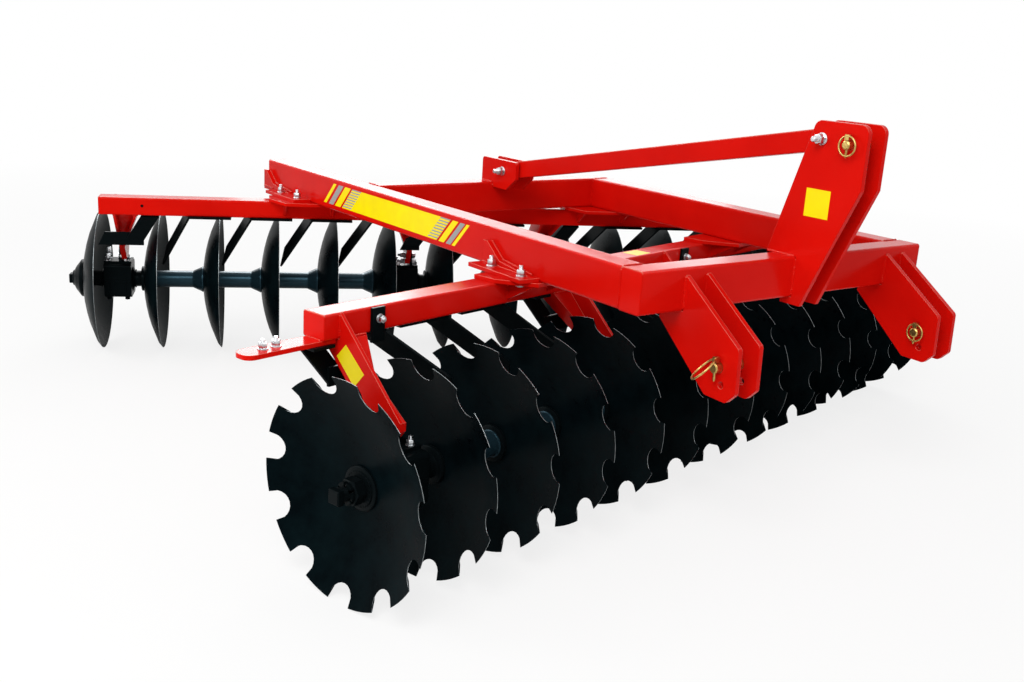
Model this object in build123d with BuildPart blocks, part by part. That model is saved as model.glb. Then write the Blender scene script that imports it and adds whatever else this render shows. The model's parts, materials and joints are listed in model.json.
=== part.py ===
"""Mounted offset disc harrow with two rows of discs.

X points to the machine's right, Y forward and Z up, in millimetres.
The ground is at Z = 0 and the origin lies under the middle of the machine.
Both rows are one design, set out along a line of its own: `along` runs down the axle
from the first disc, `across` runs level from the axle towards the gang beam.
"""

from build123d import *
from math import cos, radians, sin, sqrt
import os

os.makedirs("parts", exist_ok=True)

# Discs and their axles
DISC_D = 560.0
DISC_BALL_R = 610.0  # radius of the ball that the dish is cut from
DISC_T = 6.0
DISC_HUB_R = 60.0  # flat middle, where the spools clamp
DISC_MID_R = 170.0  # where the dish changes slope
NOTCHES = 12
NOTCH_R = 37.0
NOTCH_CENTRE_R = 271.0
AXLE_Z = DISC_D / 2
SPACING = 230.0
GANG_SIZES = (6, 7)  # discs of the first and the second gang of a row
GANG_GAP = 270.0  # from the last disc of the first gang to the first of the second
SHAFT_SQ = 36.0
BORE_GAP = 0.6  # all round, between shaft and what is threaded on it

# Spools, washers and nuts on the axle
TUBE_D = 68.0
NECK_D = 64.0  # journal of the spools that turn in a bearing
FLARE_D = 104.0
FLARE_L = 42.0
FLANGE_D = 100.0
FLANGE_T = 12.0
WASHER_D = 110.0
WASHER_T = 12.0
NUT_ACROSS = 60.0
NUT_T = 42.0
SHAFT_STUB = 34.0  # shaft that stands out of the nut
BELL_D = 150.0
BELL_L = 45.0
BELL_NOSE_D = 60.0
BELL_STUB = 14.0

# Bearing housings and legs
BEARING_AT = 170.0  # from the disc before it
BEARING_L = 104.0
BEARING_W = 130.0
BEARING_TOP = 70.0  # above the axle
BEARING_BOTTOM = 65.0  # below the axle
BEARING_CORNER_R = 14.0
BEARING_BORE = NECK_D + 0.8
EAR_T = 12.0  # upright ear on the housing, that the leg is bolted to
EAR_W = 84.0
EAR_H = 66.0
EAR_TOP_W = 40.0
EAR_FOOT_T = 10.0
LEG_T = 10.0
LEG_SIDE = 17.0  # plumb cheek's outer face, before the middle of its bearing
LEG_TOP_W = 88.0
LEG_FOOT_W = 20.0  # both cheeks, where they meet
LEG_FOOT_UP = 18.0  # bottom of the leg, above the housing
LEG_CLOSED_UP = 80.0  # where the cheeks have met, above the housing
LEG_NOSE = -30.0  # front of the foot, from the axle
LEG_NOSE_UP = 77.0
LEG_TOE_UP = 55.0
LEG_SOLE = (0.0, 45.0)  # flat bottom of the foot, from the axle
LEG_HEEL = 74.0  # under the beam, from its face
LEG_KINK = (110.0, 145.0)  # where the web bends, from the axle and above the housing

# Gang beams
BEAM_W = 80.0
BEAM_H = 66.0
BEAM_Z = 585.0  # underside
BEAM_ACROSS = 233.0  # middle of the beam, from the axle
BEAM_START = 106.0
BEAM_OVERHANG = 32.0  # past the middle of the last bearing
BEAM_CORNER_R = 6.0

# Scrapers: most are a pad and a blade on edge, and beside a leg a hanger and a level bar
SCRAPER_W = 62.0
SCRAPER_T = 8.0
SCRAPER_PAD = 180.0
SCRAPER_EDGE = -33.0  # upper edge of the blade under the beam, from its middle
SCRAPER_SETS = {
    # row: from the bend to the rim of its disc, and how far the blade runs on for each mm down
    "front": (145.0, 1.06),
    "rear": (98.0, 0.52),
}
SCRAPER_FALL = -0.9  # how far the blade goes towards the axle for each mm down
SCRAPER_L = 215.0  # upper edge
SCRAPER_POINT = 48.0  # lower edge, past the upper one
HOOK_W = 43.0
HOOK_UP = 64.0  # over the underside of the beam
HOOK_DOWN = 26.0
HANGER_W = 66.0
HANGER_GAP = 12.0  # to the leg
HANGER_DROP = 100.0
HANGER_TOP = 20.0  # bend of the hanger under the beam, from its middle
HANGER_IN = 42.0  # how far the hanger's end is nearer to the axle
HANGER_RUN = 62.0  # along the axle
BAR_H = 50.0
BAR_GAP = 15.0  # to the rim
ARM_W = 62.0
ARM_T = 12.0
ARM_START = -110.0
ARM_ON_BEAM = 44.0
ARM_CORNER_R = 24.8

# Rows: start of the first axle and the way that the axle runs
FRONT_START = (1349.0, 1132.0)
FRONT_HEADING = 193.0
REAR_START = (-1365.0, -82.0)
REAR_HEADING = 336.0

# Main frame
FRAME_W = 80.0
FRAME_H = 115.0
FRAME_CORNER_R = 8.0
SADDLE_T = 12.0
RIGHT_BEAM_X = 557.0
LEFT_BEAM_X = -516.0
FRONT_CROSS_Y = 1233.0
REAR_CROSS_Y = -242.0
RIGHT_BEAM_REAR_Y = -963.0

# Saddles and clamps that tie the gang beams to the side beams
SADDLE_L = 300.0
SADDLE_FRONT = 110.0  # overhang in front of the gang beam
SADDLE_CHAMFER = 60.0
RIB_T = 10.0
CLAMP_L = 256.0
CLAMP_W = 69.0
CLAMP_T = 12.0
CLAMP_FORWARD = 5.0  # middle of the clamp, in front of the crossing
GUSSET_T = 20.0  # flat on the side of the beam
GUSSET_H = 76.0
GUSSET_TOP = 20.0
GUSSET_LOW_H = 16.0
GUSSET_SLOPE = 84.0  # from its end to the foot of the slope
GUSSET_L = 228.0
GUSSET_TAIL = 125.0  # behind the rear right clamp, up to the end of the side beam

# Hitch; the outlines are pairs of a distance and a height, from the front of the crossbeam
HITCH_X = -19.0
LOWER_SPAN = 836.0
HITCH_T = 14.0
LOWER_GAP = 62.0
LOWER_PIN = (1418.0, 552.0)
LOWER_PIN_D = 28.0
LOWER_HOLE = (1430.0, 508.0)
LOWER_HOLE_D = 18.0
MAST_GAP = 56.0
TOP_PIN = (1402.0, 1100.0)
TOP_PIN_D = 25.0
PIN_FIT = 0.5
PIN_OUT = 22.0  # pin past each plate
BRACE_FRONT = (1310.0, 1106.0)
BRACE_REAR = (-143.0, 827.0)
BRACE_H = 60.0
BRACE_W = 44.0
BRACE_BOLT_D = 24.0
BRACE_END = 38.0
MAST_TIP = (12.0, 181.0)  # from the back to the front of the mast's top, from the crossbeam
MAST_TOP_Z = 1155.0
MAST_CHIN = (181.0, 985.0)
MAST_FOOT = (31.0, -37.0)  # front and back of the mast's foot
MAST_HEEL = 106.0  # on top of the crossbeam, behind its front face
MAST_UNDER = 21.0  # below the crossbeam
MAST_CORNER_R = 24.0
LINK_TOP_DOWN = 20.0  # from the top of the crossbeam
LINK_POINTS = ((204.0, 612.0), (207.0, 495.0), (178.0, 466.0), (104.0, 468.0))
LINK_HEEL = (-84.0, -34.0)  # from the front and the underside of the crossbeam
LINK_BACK = 80.0
LINK_CORNER_R = 14.0
LUG_BACK = 74.0
LUG_TOP_Z = 868.0
LUG_POINTS = ((144.0, 868.0), (144.0, 806.0))
LUG_FOOT = (86.0, 18.0)
LUG_CORNER_R = 12.0

# Worked out
DISC_R = DISC_D / 2
RIM_DROP = sqrt(DISC_BALL_R**2 - DISC_R**2)
DISH = sqrt(DISC_BALL_R**2 - DISC_HUB_R**2) - RIM_DROP
MID_DISH = sqrt(DISC_BALL_R**2 - DISC_MID_R**2) - RIM_DROP
GANG_STARTS = (0.0, (GANG_SIZES[0] - 1) * SPACING + GANG_GAP)
BEAM_TOP = BEAM_Z + BEAM_H
BEAM_END = GANG_STARTS[1] + (GANG_SIZES[1] - 2) * SPACING + BEARING_AT + BEAM_OVERHANG
FRAME_Z = BEAM_TOP + SADDLE_T
FRAME_TOP = FRAME_Z + FRAME_H
FRAME_MID_Z = FRAME_Z + FRAME_H / 2
ROWS = (
    # name, start, heading, notched, which side of the beam faces forward
    ("front", FRONT_START, FRONT_HEADING, True, -1),
    ("rear", REAR_START, REAR_HEADING, False, 1),
)


def row_plane(start, heading, along, height=0.0, across=0.0):
    """Upright plane square to the axle; its x is `across` and its y is up."""
    angle = radians(heading)
    way = Vector(cos(angle), sin(angle), 0)
    side = Vector(-sin(angle), cos(angle), 0)
    origin = Vector(*start, height) + way * along + side * across
    return Plane(origin=origin, x_dir=side, z_dir=way)


def side_plane(start, heading, across):
    """Upright plane along the axle; its x is `along` and its y is up."""
    base = row_plane(start, heading, 0.0, 0.0, across)
    return Plane(origin=base.origin, x_dir=base.z_dir, z_dir=-base.x_dir)


def top_plane(start, heading, height):
    """Level plane whose x is `along` and whose y is `across`."""
    base = row_plane(start, heading, 0.0, height)
    return Plane(origin=base.origin, x_dir=base.z_dir, z_dir=(0, 0, 1))


def save(part, name):
    """Labels one finished piece and writes its file."""
    part.label = name
    export_step(part, f"parts/{name}.step")


# One plain and one notched disc, with the rim in the plane Z = 0 and the hub above it
with BuildPart() as plain_disc:
    with BuildSketch(Plane.XZ):
        Polygon(
            (0, DISH), (DISC_HUB_R, DISH), (DISC_MID_R, MID_DISH), (DISC_R, 0),
            (DISC_R, DISC_T), (DISC_MID_R, MID_DISH + DISC_T), (DISC_HUB_R, DISH + DISC_T),
            (0, DISH + DISC_T), align=None,
        )
    revolve(axis=Axis.Z)
    with BuildSketch(Plane.XY):
        Rectangle(SHAFT_SQ + 2 * BORE_GAP, SHAFT_SQ + 2 * BORE_GAP)
    extrude(amount=DISH + DISC_T, mode=Mode.SUBTRACT)

with BuildPart() as notched_disc:
    add(plain_disc.part)
    with BuildSketch(Plane.XY.offset(-1)):
        with PolarLocations(NOTCH_CENTRE_R, NOTCHES, start_angle=180 / NOTCHES):
            Circle(NOTCH_R)
    extrude(amount=DISH + DISC_T, mode=Mode.SUBTRACT)

for row, start, heading, notched, forward in ROWS:
    for gang, (first, count) in enumerate(zip(GANG_STARTS, GANG_SIZES)):
        side = ("right", "left")[gang if row == "front" else 1 - gang]
        last = first + (count - 1) * SPACING
        blank = notched_disc if notched else plain_disc

        # Discs
        with BuildPart() as discs:
            for number in range(count):
                at = row_plane(start, heading, first + number * SPACING, AXLE_Z)
                with Locations(at.location):
                    add(blank.part)
        save(discs.part, f"discs_{row}_{side}")

        # Spools between the discs, with a plain journal where a bearing holds them
        with BuildPart() as spools:
            for number in range(count - 1):
                near = first + number * SPACING + DISH + DISC_T
                far = first + (number + 1) * SPACING + DISH
                long = far - near
                journal = number in (0, count - 2)
                if journal:
                    body = [
                        (FLANGE_D / 2, 0), (FLANGE_D / 2, FLANGE_T), (NECK_D / 2, FLANGE_T),
                        (NECK_D / 2, long - FLANGE_T), (FLANGE_D / 2, long - FLANGE_T),
                    ]
                else:
                    body = [
                        (FLARE_D / 2, 0), (FLARE_D / 2, FLANGE_T / 2), (TUBE_D / 2, FLARE_L),
                        (TUBE_D / 2, long - FLANGE_T), (FLANGE_D / 2, long - FLANGE_T),
                    ]
                at = row_plane(start, heading, near, AXLE_Z)
                turned = Plane(origin=at.origin, x_dir=at.x_dir, z_dir=-at.y_dir)
                with BuildSketch(turned):
                    Polygon((0, 0), *body, (FLANGE_D / 2, long), (0, long), align=None)
                revolve(axis=Axis(at.origin, at.z_dir))
            opening = row_plane(start, heading, first, AXLE_Z)
            with BuildSketch(opening):
                Rectangle(SHAFT_SQ + 2 * BORE_GAP, SHAFT_SQ + 2 * BORE_GAP)
            extrude(amount=last - first + SPACING, mode=Mode.SUBTRACT)
        save(spools.part, f"spools_{row}_{side}")

        # Square shaft with its washer and nut at one end and the bell at the other
        nut_end = first + DISH - WASHER_T - NUT_T
        bell_start = last + DISH + DISC_T
        with BuildPart() as shaft:
            with BuildSketch(row_plane(start, heading, nut_end - SHAFT_STUB, AXLE_Z)):
                Rectangle(SHAFT_SQ, SHAFT_SQ)
            extrude(amount=bell_start + BELL_L + BELL_STUB - nut_end + SHAFT_STUB)
            with BuildSketch(row_plane(start, heading, nut_end, AXLE_Z)):
                RegularPolygon(NUT_ACROSS / 2, 6, major_radius=False)
            extrude(amount=NUT_T)
            with BuildSketch(row_plane(start, heading, nut_end + NUT_T, AXLE_Z)):
                Circle(WASHER_D / 2)
            extrude(amount=WASHER_T)
            at = row_plane(start, heading, bell_start, AXLE_Z)
            turned = Plane(origin=at.origin, x_dir=at.x_dir, z_dir=-at.y_dir)
            with BuildSketch(turned):
                Polygon(
                    (0, 0), (BELL_D / 2, 0), (BELL_D / 2, BELL_L / 4),
                    (BELL_D / 2.6, BELL_L / 2), (BELL_NOSE_D / 2, BELL_L), (0, BELL_L), align=None,
                )
            revolve(axis=Axis(at.origin, at.z_dir))
        save(shaft.part, f"shaft_{row}_{side}")

    # Gang beam
    with BuildPart() as gang_beam:
        with BuildSketch(row_plane(start, heading, BEAM_START, BEAM_Z + BEAM_H / 2, BEAM_ACROSS)):
            RectangleRounded(BEAM_W, BEAM_H, BEAM_CORNER_R)
        extrude(amount=BEAM_END - BEAM_START)
    save(gang_beam.part, f"gang_beam_{row}")

    # Bearing housings with the ears that the legs are bolted to
    housing_top = AXLE_Z + BEARING_TOP
    closed = housing_top + LEG_CLOSED_UP
    sole = housing_top + LEG_FOOT_UP
    face = BEAM_ACROSS - BEAM_W / 2
    ear_middle = (LEG_NOSE + LEG_SOLE[1]) / 2
    number = 0
    for first, count in zip(GANG_STARTS, GANG_SIZES):
        for bay, lean in ((0, 1), (count - 2, -1)):
            number += 1
            middle = first + bay * SPACING + BEARING_AT
            plumb = middle - LEG_SIDE
            with BuildPart() as bearing:
                with BuildSketch(row_plane(start, heading, middle - BEARING_L / 2, AXLE_Z)):
                    with Locations((0, (BEARING_TOP - BEARING_BOTTOM) / 2)):
                        RectangleRounded(BEARING_W, BEARING_TOP + BEARING_BOTTOM, BEARING_CORNER_R)
                    Circle(BEARING_BORE / 2, mode=Mode.SUBTRACT)
                extrude(amount=BEARING_L)
                with BuildSketch(top_plane(start, heading, housing_top)):
                    with Locations((middle, ear_middle)):
                        Rectangle(BEARING_L, EAR_W)
                extrude(amount=EAR_FOOT_T)
                with BuildSketch(row_plane(start, heading, plumb, housing_top, ear_middle)):
                    Polygon(
                        (-EAR_W / 2, 0), (EAR_W / 2, 0), (EAR_W / 2, EAR_FOOT_T),
                        (EAR_TOP_W / 2, EAR_H), (-EAR_TOP_W / 2, EAR_H), (-EAR_W / 2, EAR_FOOT_T),
                        align=None,
                    )
                extrude(amount=-lean * EAR_T)
            save(bearing.part, f"bearing_{row}_{number}")

            # Leg: a plumb cheek and a leaning one that meet at the foot, with a web between.
            # The core is what is cut out between the cheeks, in front of the web and behind it.
            kink = (LEG_KINK[0], housing_top + LEG_KINK[1])
            nose = (LEG_NOSE, housing_top + LEG_NOSE_UP)
            with BuildPart() as core:
                with BuildSketch(row_plane(start, heading, middle)):
                    Rectangle(4 * BEAM_ACROSS, 4 * BEAM_TOP)
                    Polygon(
                        (face, BEAM_Z), kink, nose, (nose[0], nose[1] - LEG_T),
                        (kink[0] + LEG_T, kink[1] - LEG_T), (face + LEG_T, BEAM_Z - LEG_T),
                        (face + LEG_T, BEAM_Z), align=None, mode=Mode.SUBTRACT,
                    )
                extrude(amount=LEG_TOP_W, both=True)
                with BuildSketch(side_plane(start, heading, BEAM_ACROSS)):
                    Polygon(
                        (plumb + lean * LEG_T, closed), (plumb + lean * LEG_T, BEAM_Z),
                        (plumb + lean * (LEG_TOP_W - LEG_T), BEAM_Z), align=None,
                    )
                extrude(amount=2 * BEAM_ACROSS, both=True, mode=Mode.INTERSECT)
            under = (
                (nose[0], housing_top + LEG_TOE_UP), (LEG_SOLE[0], sole), (LEG_SOLE[1], sole),
                (face + LEG_HEEL, BEAM_Z),
            )
            with BuildPart() as leg:
                with BuildSketch(row_plane(start, heading, middle)):
                    Polygon((face, BEAM_Z), kink, nose, *under, align=None)
                extrude(amount=LEG_TOP_W + LEG_SIDE, both=True)
                with BuildSketch(side_plane(start, heading, BEAM_ACROSS)):
                    Polygon(
                        (plumb, sole), (plumb, BEAM_Z), (plumb + lean * LEG_TOP_W, BEAM_Z),
                        (plumb + lean * LEG_FOOT_W, closed), (plumb + lean * LEG_FOOT_W, sole),
                        align=None,
                    )
                extrude(amount=2 * BEAM_ACROSS, both=True, mode=Mode.INTERSECT)
                add(core.part, mode=Mode.SUBTRACT)
                with BuildSketch(row_plane(start, heading, plumb)):
                    Polygon((face, BEAM_Z), (face, BEAM_TOP), nose, *under, align=None)
                extrude(amount=lean * LEG_T)
            save(leg.part, f"leg_{row}_{number}")

    # Scrapers
    fall = SCRAPER_W / sqrt(1 + SCRAPER_FALL**2)
    edge = BEAM_ACROSS + SCRAPER_EDGE
    set_back, run = SCRAPER_SETS[row]
    for gang, (first, count) in enumerate(zip(GANG_STARTS, GANG_SIZES)):
        side = ("right", "left")[gang if row == "front" else 1 - gang]
        with BuildPart() as scrapers:
            for number in range(count):
                rim = first + number * SPACING
                before = rim - SPACING + BEARING_AT - LEG_SIDE
                if rim == 0:
                    continue
                if number in (1, count - 1):
                    # Beside a leg: a pad, a hanger down behind the leg and a bar past it
                    top = BEAM_Z - (ARM_T if rim == SPACING else 0)
                    leg_start = before if number == 1 else before - LEG_TOP_W
                    hang = leg_start - HANGER_GAP - HANGER_W
                    bend = BEAM_ACROSS + HANGER_TOP
                    with BuildSketch(top_plane(start, heading, top - SCRAPER_T)):
                        with Locations((hang, bend)):
                            Rectangle(HANGER_W, bend - face, align=(Align.MIN, Align.MAX))
                    extrude(amount=SCRAPER_T)
                    corner = row_plane(start, heading, hang, top - SCRAPER_T / 2, bend)
                    down = corner.x_dir * -HANGER_IN - corner.y_dir * HANGER_DROP
                    with BuildSketch(Plane(
                        origin=corner.origin, x_dir=corner.z_dir, z_dir=corner.z_dir.cross(down)
                    )):
                        Polygon(
                            (0, 0), (HANGER_W, 0), (HANGER_RUN + HANGER_W, down.length),
                            (HANGER_RUN, down.length), align=None,
                        )
                    extrude(amount=SCRAPER_T)
                    low = BEAM_Z - HANGER_DROP - BAR_H / 2
                    with BuildSketch(side_plane(start, heading, bend - HANGER_IN + SCRAPER_T)):
                        Polygon(
                            (hang + HANGER_RUN, low), (rim - BAR_GAP, low),
                            (rim - BAR_GAP - BAR_H / 2, low + BAR_H),
                            (hang + HANGER_RUN, low + BAR_H), align=None,
                        )
                    extrude(amount=SCRAPER_T)
                    continue
                # Out in the open: a pad that ends along the bend, then the blade
                bend = rim - set_back
                pad = bend - SCRAPER_PAD
                if number == 2:
                    pad = before - SPACING + LEG_TOP_W + HANGER_GAP
                with BuildSketch(top_plane(start, heading, BEAM_Z - SCRAPER_T)):
                    Polygon(
                        (pad, edge), (bend, edge),
                        (bend + fall * SCRAPER_FALL * run, edge + fall * (1 + SCRAPER_FALL**2)),
                        (pad, edge + fall * (1 + SCRAPER_FALL**2)), align=None,
                    )
                extrude(amount=SCRAPER_T)
                corner = row_plane(start, heading, bend, BEAM_Z - SCRAPER_T / 2, edge)
                down = corner.z_dir * run + corner.x_dir * SCRAPER_FALL - corner.y_dir
                wide = corner.x_dir + corner.y_dir * SCRAPER_FALL
                with BuildSketch(Plane(
                    origin=corner.origin, x_dir=down, z_dir=down.cross(wide)
                )):
                    Polygon(
                        (0, 0), (SCRAPER_L, 0), (SCRAPER_L + SCRAPER_POINT, SCRAPER_W),
                        (fall * SCRAPER_FALL * down.length, SCRAPER_W), align=None,
                    )
                extrude(amount=-SCRAPER_T)
                if number == 2:
                    # Hook up the face of the beam, where the leg leaves a short pad
                    with BuildSketch(side_plane(start, heading, face)):
                        with Locations((pad, BEAM_Z - HOOK_DOWN)):
                            Rectangle(HOOK_W, HOOK_DOWN + HOOK_UP, align=(Align.MIN, Align.MIN))
                    extrude(amount=SCRAPER_T)
                    with BuildSketch(top_plane(start, heading, BEAM_Z - SCRAPER_T)):
                        with Locations((pad, face - SCRAPER_T)):
                            Rectangle(
                                HOOK_W, edge - face + 2 * SCRAPER_T, align=(Align.MIN, Align.MIN)
                            )
                    extrude(amount=SCRAPER_T)
        save(scrapers.part, f"scrapers_{row}_{side}")

    # Arm beyond the beam's end, for the first scraper
    with BuildPart() as arm:
        with BuildSketch(top_plane(start, heading, BEAM_Z - ARM_T)):
            with Locations((ARM_START, BEAM_ACROSS)):
                Rectangle(
                    BEAM_START + ARM_ON_BEAM - ARM_START, ARM_W, align=(Align.MIN, Align.CENTER)
                )
        extrude(amount=ARM_T)
        tip = row_plane(start, heading, ARM_START, BEAM_Z, BEAM_ACROSS).origin
        fillet(arm.edges().filter_by(Axis.Z).sort_by_distance(tip)[:2], ARM_CORNER_R)
    save(arm.part, f"scraper_arm_{row}")

    # Saddles on the gang beam and clamps on the side beams, where the two cross
    way = top_plane(start, heading, 0.0).x_dir
    across = top_plane(start, heading, 0.0).y_dir
    for side, outboard, beam_x in (("right", 1, RIGHT_BEAM_X), ("left", -1, LEFT_BEAM_X)):
        crossing = (beam_x - start[0] - across.X * BEAM_ACROSS) / way.X
        back = BEAM_ACROSS - forward * BEAM_W / 2
        front = BEAM_ACROSS + forward * BEAM_W / 2
        lip = front + forward * SADDLE_FRONT
        half = SADDLE_L / 2
        with BuildPart() as saddle:
            with BuildSketch(top_plane(start, heading, BEAM_TOP)):
                Polygon(
                    (crossing - half, back), (crossing + half, back), (crossing + half, front),
                    (crossing + half - SADDLE_CHAMFER, lip), (crossing - half + SADDLE_CHAMFER, lip),
                    (crossing - half, front), align=None,
                )
            extrude(amount=SADDLE_T)
            for end in (-1, 1):
                rib = crossing + end * (half - SADDLE_CHAMFER)
                with BuildSketch(row_plane(start, heading, rib)):
                    Polygon(
                        (front, BEAM_TOP), (lip - forward * SADDLE_T, BEAM_TOP),
                        (front, BEAM_Z + SADDLE_T), align=None,
                    )
                extrude(amount=RIB_T / 2, both=True)
        save(saddle.part, f"saddle_{row}_{side}")

        outer_x = beam_x + outboard * FRAME_W / 2
        middle_x = outer_x + outboard * CLAMP_W / 2
        at = (middle_x - start[0] - across.X * BEAM_ACROSS) / way.X
        middle_y = start[1] + way.Y * at + across.Y * BEAM_ACROSS + CLAMP_FORWARD
        with BuildPart() as clamp:
            with BuildSketch(Plane.XY.offset(FRAME_Z)):
                with Locations((middle_x, middle_y)):
                    Rectangle(CLAMP_W, CLAMP_L)
            extrude(amount=CLAMP_T)
            tail = GUSSET_TAIL if (row, side) == ("rear", "right") else 0.0
            end_y = middle_y - CLAMP_L / 2 - tail
            with BuildSketch(Plane.YZ.offset(outer_x)):
                Polygon(
                    (end_y, FRAME_Z), (end_y, FRAME_Z + GUSSET_H),
                    (end_y + GUSSET_TOP, FRAME_Z + GUSSET_H),
                    (end_y + GUSSET_SLOPE, FRAME_Z + GUSSET_LOW_H + CLAMP_T),
                    (end_y + GUSSET_L, FRAME_Z + CLAMP_T), (end_y + GUSSET_L, FRAME_Z), align=None,
                )
            extrude(amount=outboard * GUSSET_T)
        save(clamp.part, f"clamp_{row}_{side}")


# Main frame: two crossbeams and two side beams of one rounded box section
right_face = RIGHT_BEAM_X + FRAME_W / 2
left_face = LEFT_BEAM_X - FRAME_W / 2
front_back = FRONT_CROSS_Y - FRAME_W / 2
rear_front = REAR_CROSS_Y + FRAME_W / 2
FRAME_BEAMS = (
    # name, plane at one end, length
    ("front_crossbeam", Plane((left_face, FRONT_CROSS_Y, FRAME_MID_Z), (0, 1, 0), (1, 0, 0)),
     right_face - left_face),
    ("rear_crossbeam", Plane((left_face, REAR_CROSS_Y, FRAME_MID_Z), (0, 1, 0), (1, 0, 0)),
     right_face - FRAME_W - left_face),
    ("side_beam_right", Plane((RIGHT_BEAM_X, RIGHT_BEAM_REAR_Y, FRAME_MID_Z), (-1, 0, 0), (0, 1, 0)),
     front_back - RIGHT_BEAM_REAR_Y),
    ("side_beam_left", Plane((LEFT_BEAM_X, rear_front, FRAME_MID_Z), (-1, 0, 0), (0, 1, 0)),
     front_back - rear_front),
)
for name, end, length in FRAME_BEAMS:
    with BuildPart() as frame_beam:
        with BuildSketch(end):
            RectangleRounded(FRAME_W, FRAME_H, FRAME_CORNER_R)
        extrude(amount=length)
    save(frame_beam.part, name)

# Mast plates, notched round the front crossbeam
front_face = FRONT_CROSS_Y + FRAME_W / 2
MAST_OUTLINE = (
    (front_face + MAST_TIP[0], MAST_TOP_Z), (front_face + MAST_TIP[1], MAST_TOP_Z),
    (front_face + MAST_CHIN[0], MAST_CHIN[1]), (front_face + MAST_FOOT[0], FRAME_Z - MAST_UNDER),
    (front_face + MAST_FOOT[1], FRAME_Z - MAST_UNDER), (front_face + MAST_FOOT[1], FRAME_Z),
    (front_face, FRAME_Z), (front_face, FRAME_TOP), (front_face - MAST_HEEL, FRAME_TOP),
)
mast_side = MAST_GAP / 2
for name, at in (("right", HITCH_X + mast_side), ("left", HITCH_X - mast_side - HITCH_T)):
    with BuildPart() as mast_plate:
        with BuildSketch(Plane.YZ.offset(at)) as mast_sketch:
            Polygon(*MAST_OUTLINE, align=None)
            fillet(mast_sketch.vertices().group_by(Axis.Y)[-1], MAST_CORNER_R)
            for centre, width in ((TOP_PIN, TOP_PIN_D), (BRACE_FRONT, BRACE_BOLT_D)):
                with Locations(centre):
                    Circle(width / 2 + PIN_FIT, mode=Mode.SUBTRACT)
        extrude(amount=HITCH_T)
    save(mast_plate.part, f"mast_plate_{name}")

# Lower link brackets: a pair of plates for each link, notched under the crossbeam
LINK_OUTLINE = (
    (front_face, FRAME_TOP - LINK_TOP_DOWN), *((front_face + y, z) for y, z in LINK_POINTS),
    (front_face + LINK_HEEL[0], FRAME_Z + LINK_HEEL[1]), (front_face - LINK_BACK, FRAME_Z),
    (front_face, FRAME_Z),
)
for name, turn in (("right", 1), ("left", -1)):
    middle = HITCH_X + turn * LOWER_SPAN / 2
    with BuildPart() as link_bracket:
        for at in (middle + LOWER_GAP / 2, middle - LOWER_GAP / 2 - HITCH_T):
            with BuildSketch(Plane.YZ.offset(at)) as link_sketch:
                Polygon(*LINK_OUTLINE, align=None)
                fillet(link_sketch.vertices().sort_by(Axis.Y)[:4], LINK_CORNER_R)
                for centre, width in ((LOWER_PIN, LOWER_PIN_D), (LOWER_HOLE, LOWER_HOLE_D)):
                    with Locations(centre):
                        Circle(width / 2 + PIN_FIT, mode=Mode.SUBTRACT)
            extrude(amount=HITCH_T)
    save(link_bracket.part, f"lower_bracket_{name}")

# Lugs on the rear crossbeam for the foot of the brace
LUG_OUTLINE = (
    (rear_front - LUG_BACK, FRAME_TOP), (rear_front - LUG_BACK, LUG_TOP_Z),
    *((rear_front + y, z) for y, z in LUG_POINTS),
    (rear_front + LUG_FOOT[0], FRAME_TOP - LUG_FOOT[1]), (rear_front, FRAME_TOP - LUG_FOOT[1]),
    (rear_front, FRAME_TOP),
)
with BuildPart() as brace_lugs:
    for at in (HITCH_X + mast_side, HITCH_X - mast_side - HITCH_T):
        with BuildSketch(Plane.YZ.offset(at)) as lug_sketch:
            Polygon(*LUG_OUTLINE, align=None)
            fillet(lug_sketch.vertices().group_by(Axis.Y)[-1], LUG_CORNER_R)
            with Locations(BRACE_REAR):
                Circle(BRACE_BOLT_D / 2 + PIN_FIT, mode=Mode.SUBTRACT)
        extrude(amount=HITCH_T)
save(brace_lugs.part, "brace_lugs")

# Brace from the lugs up to the mast
brace_run = Vector(0, BRACE_FRONT[0] - BRACE_REAR[0], BRACE_FRONT[1] - BRACE_REAR[1])
brace_plane = Plane(
    origin=(HITCH_X, *BRACE_REAR), x_dir=brace_run.normalized(), z_dir=(1, 0, 0)
)
with BuildPart() as brace:
    with BuildSketch(brace_plane):
        with Locations((-BRACE_END, 0)):
            Rectangle(brace_run.length + 2 * BRACE_END, BRACE_H, align=(Align.MIN, Align.CENTER))
        with Locations((0, 0), (brace_run.length, 0)):
            Circle(BRACE_BOLT_D / 2 + PIN_FIT, mode=Mode.SUBTRACT)
    extrude(amount=BRACE_W / 2, both=True)
save(brace.part, "brace")

# Pins and the brace's bolts, all across the machine
mast_half = MAST_GAP / 2 + HITCH_T
link_half = LOWER_GAP / 2 + HITCH_T
PINS = (
    # name, middle in X, place in Y and Z, diameter, half the width that it spans
    ("top_link_pin", HITCH_X, TOP_PIN, TOP_PIN_D, mast_half),
    ("lower_link_pin_right", HITCH_X + LOWER_SPAN / 2, LOWER_PIN, LOWER_PIN_D, link_half),
    ("lower_link_pin_left", HITCH_X - LOWER_SPAN / 2, LOWER_PIN, LOWER_PIN_D, link_half),
    ("brace_bolt_front", HITCH_X, BRACE_FRONT, BRACE_BOLT_D, mast_half),
    ("brace_bolt_rear", HITCH_X, BRACE_REAR, BRACE_BOLT_D, mast_half),
)
for name, middle, centre, width, half in PINS:
    with BuildPart() as pin:
        with BuildSketch(Plane.YZ.offset(middle)):
            with Locations(centre):
                Circle(width / 2)
        extrude(amount=half + PIN_OUT, both=True)
    save(pin.part, name)
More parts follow.
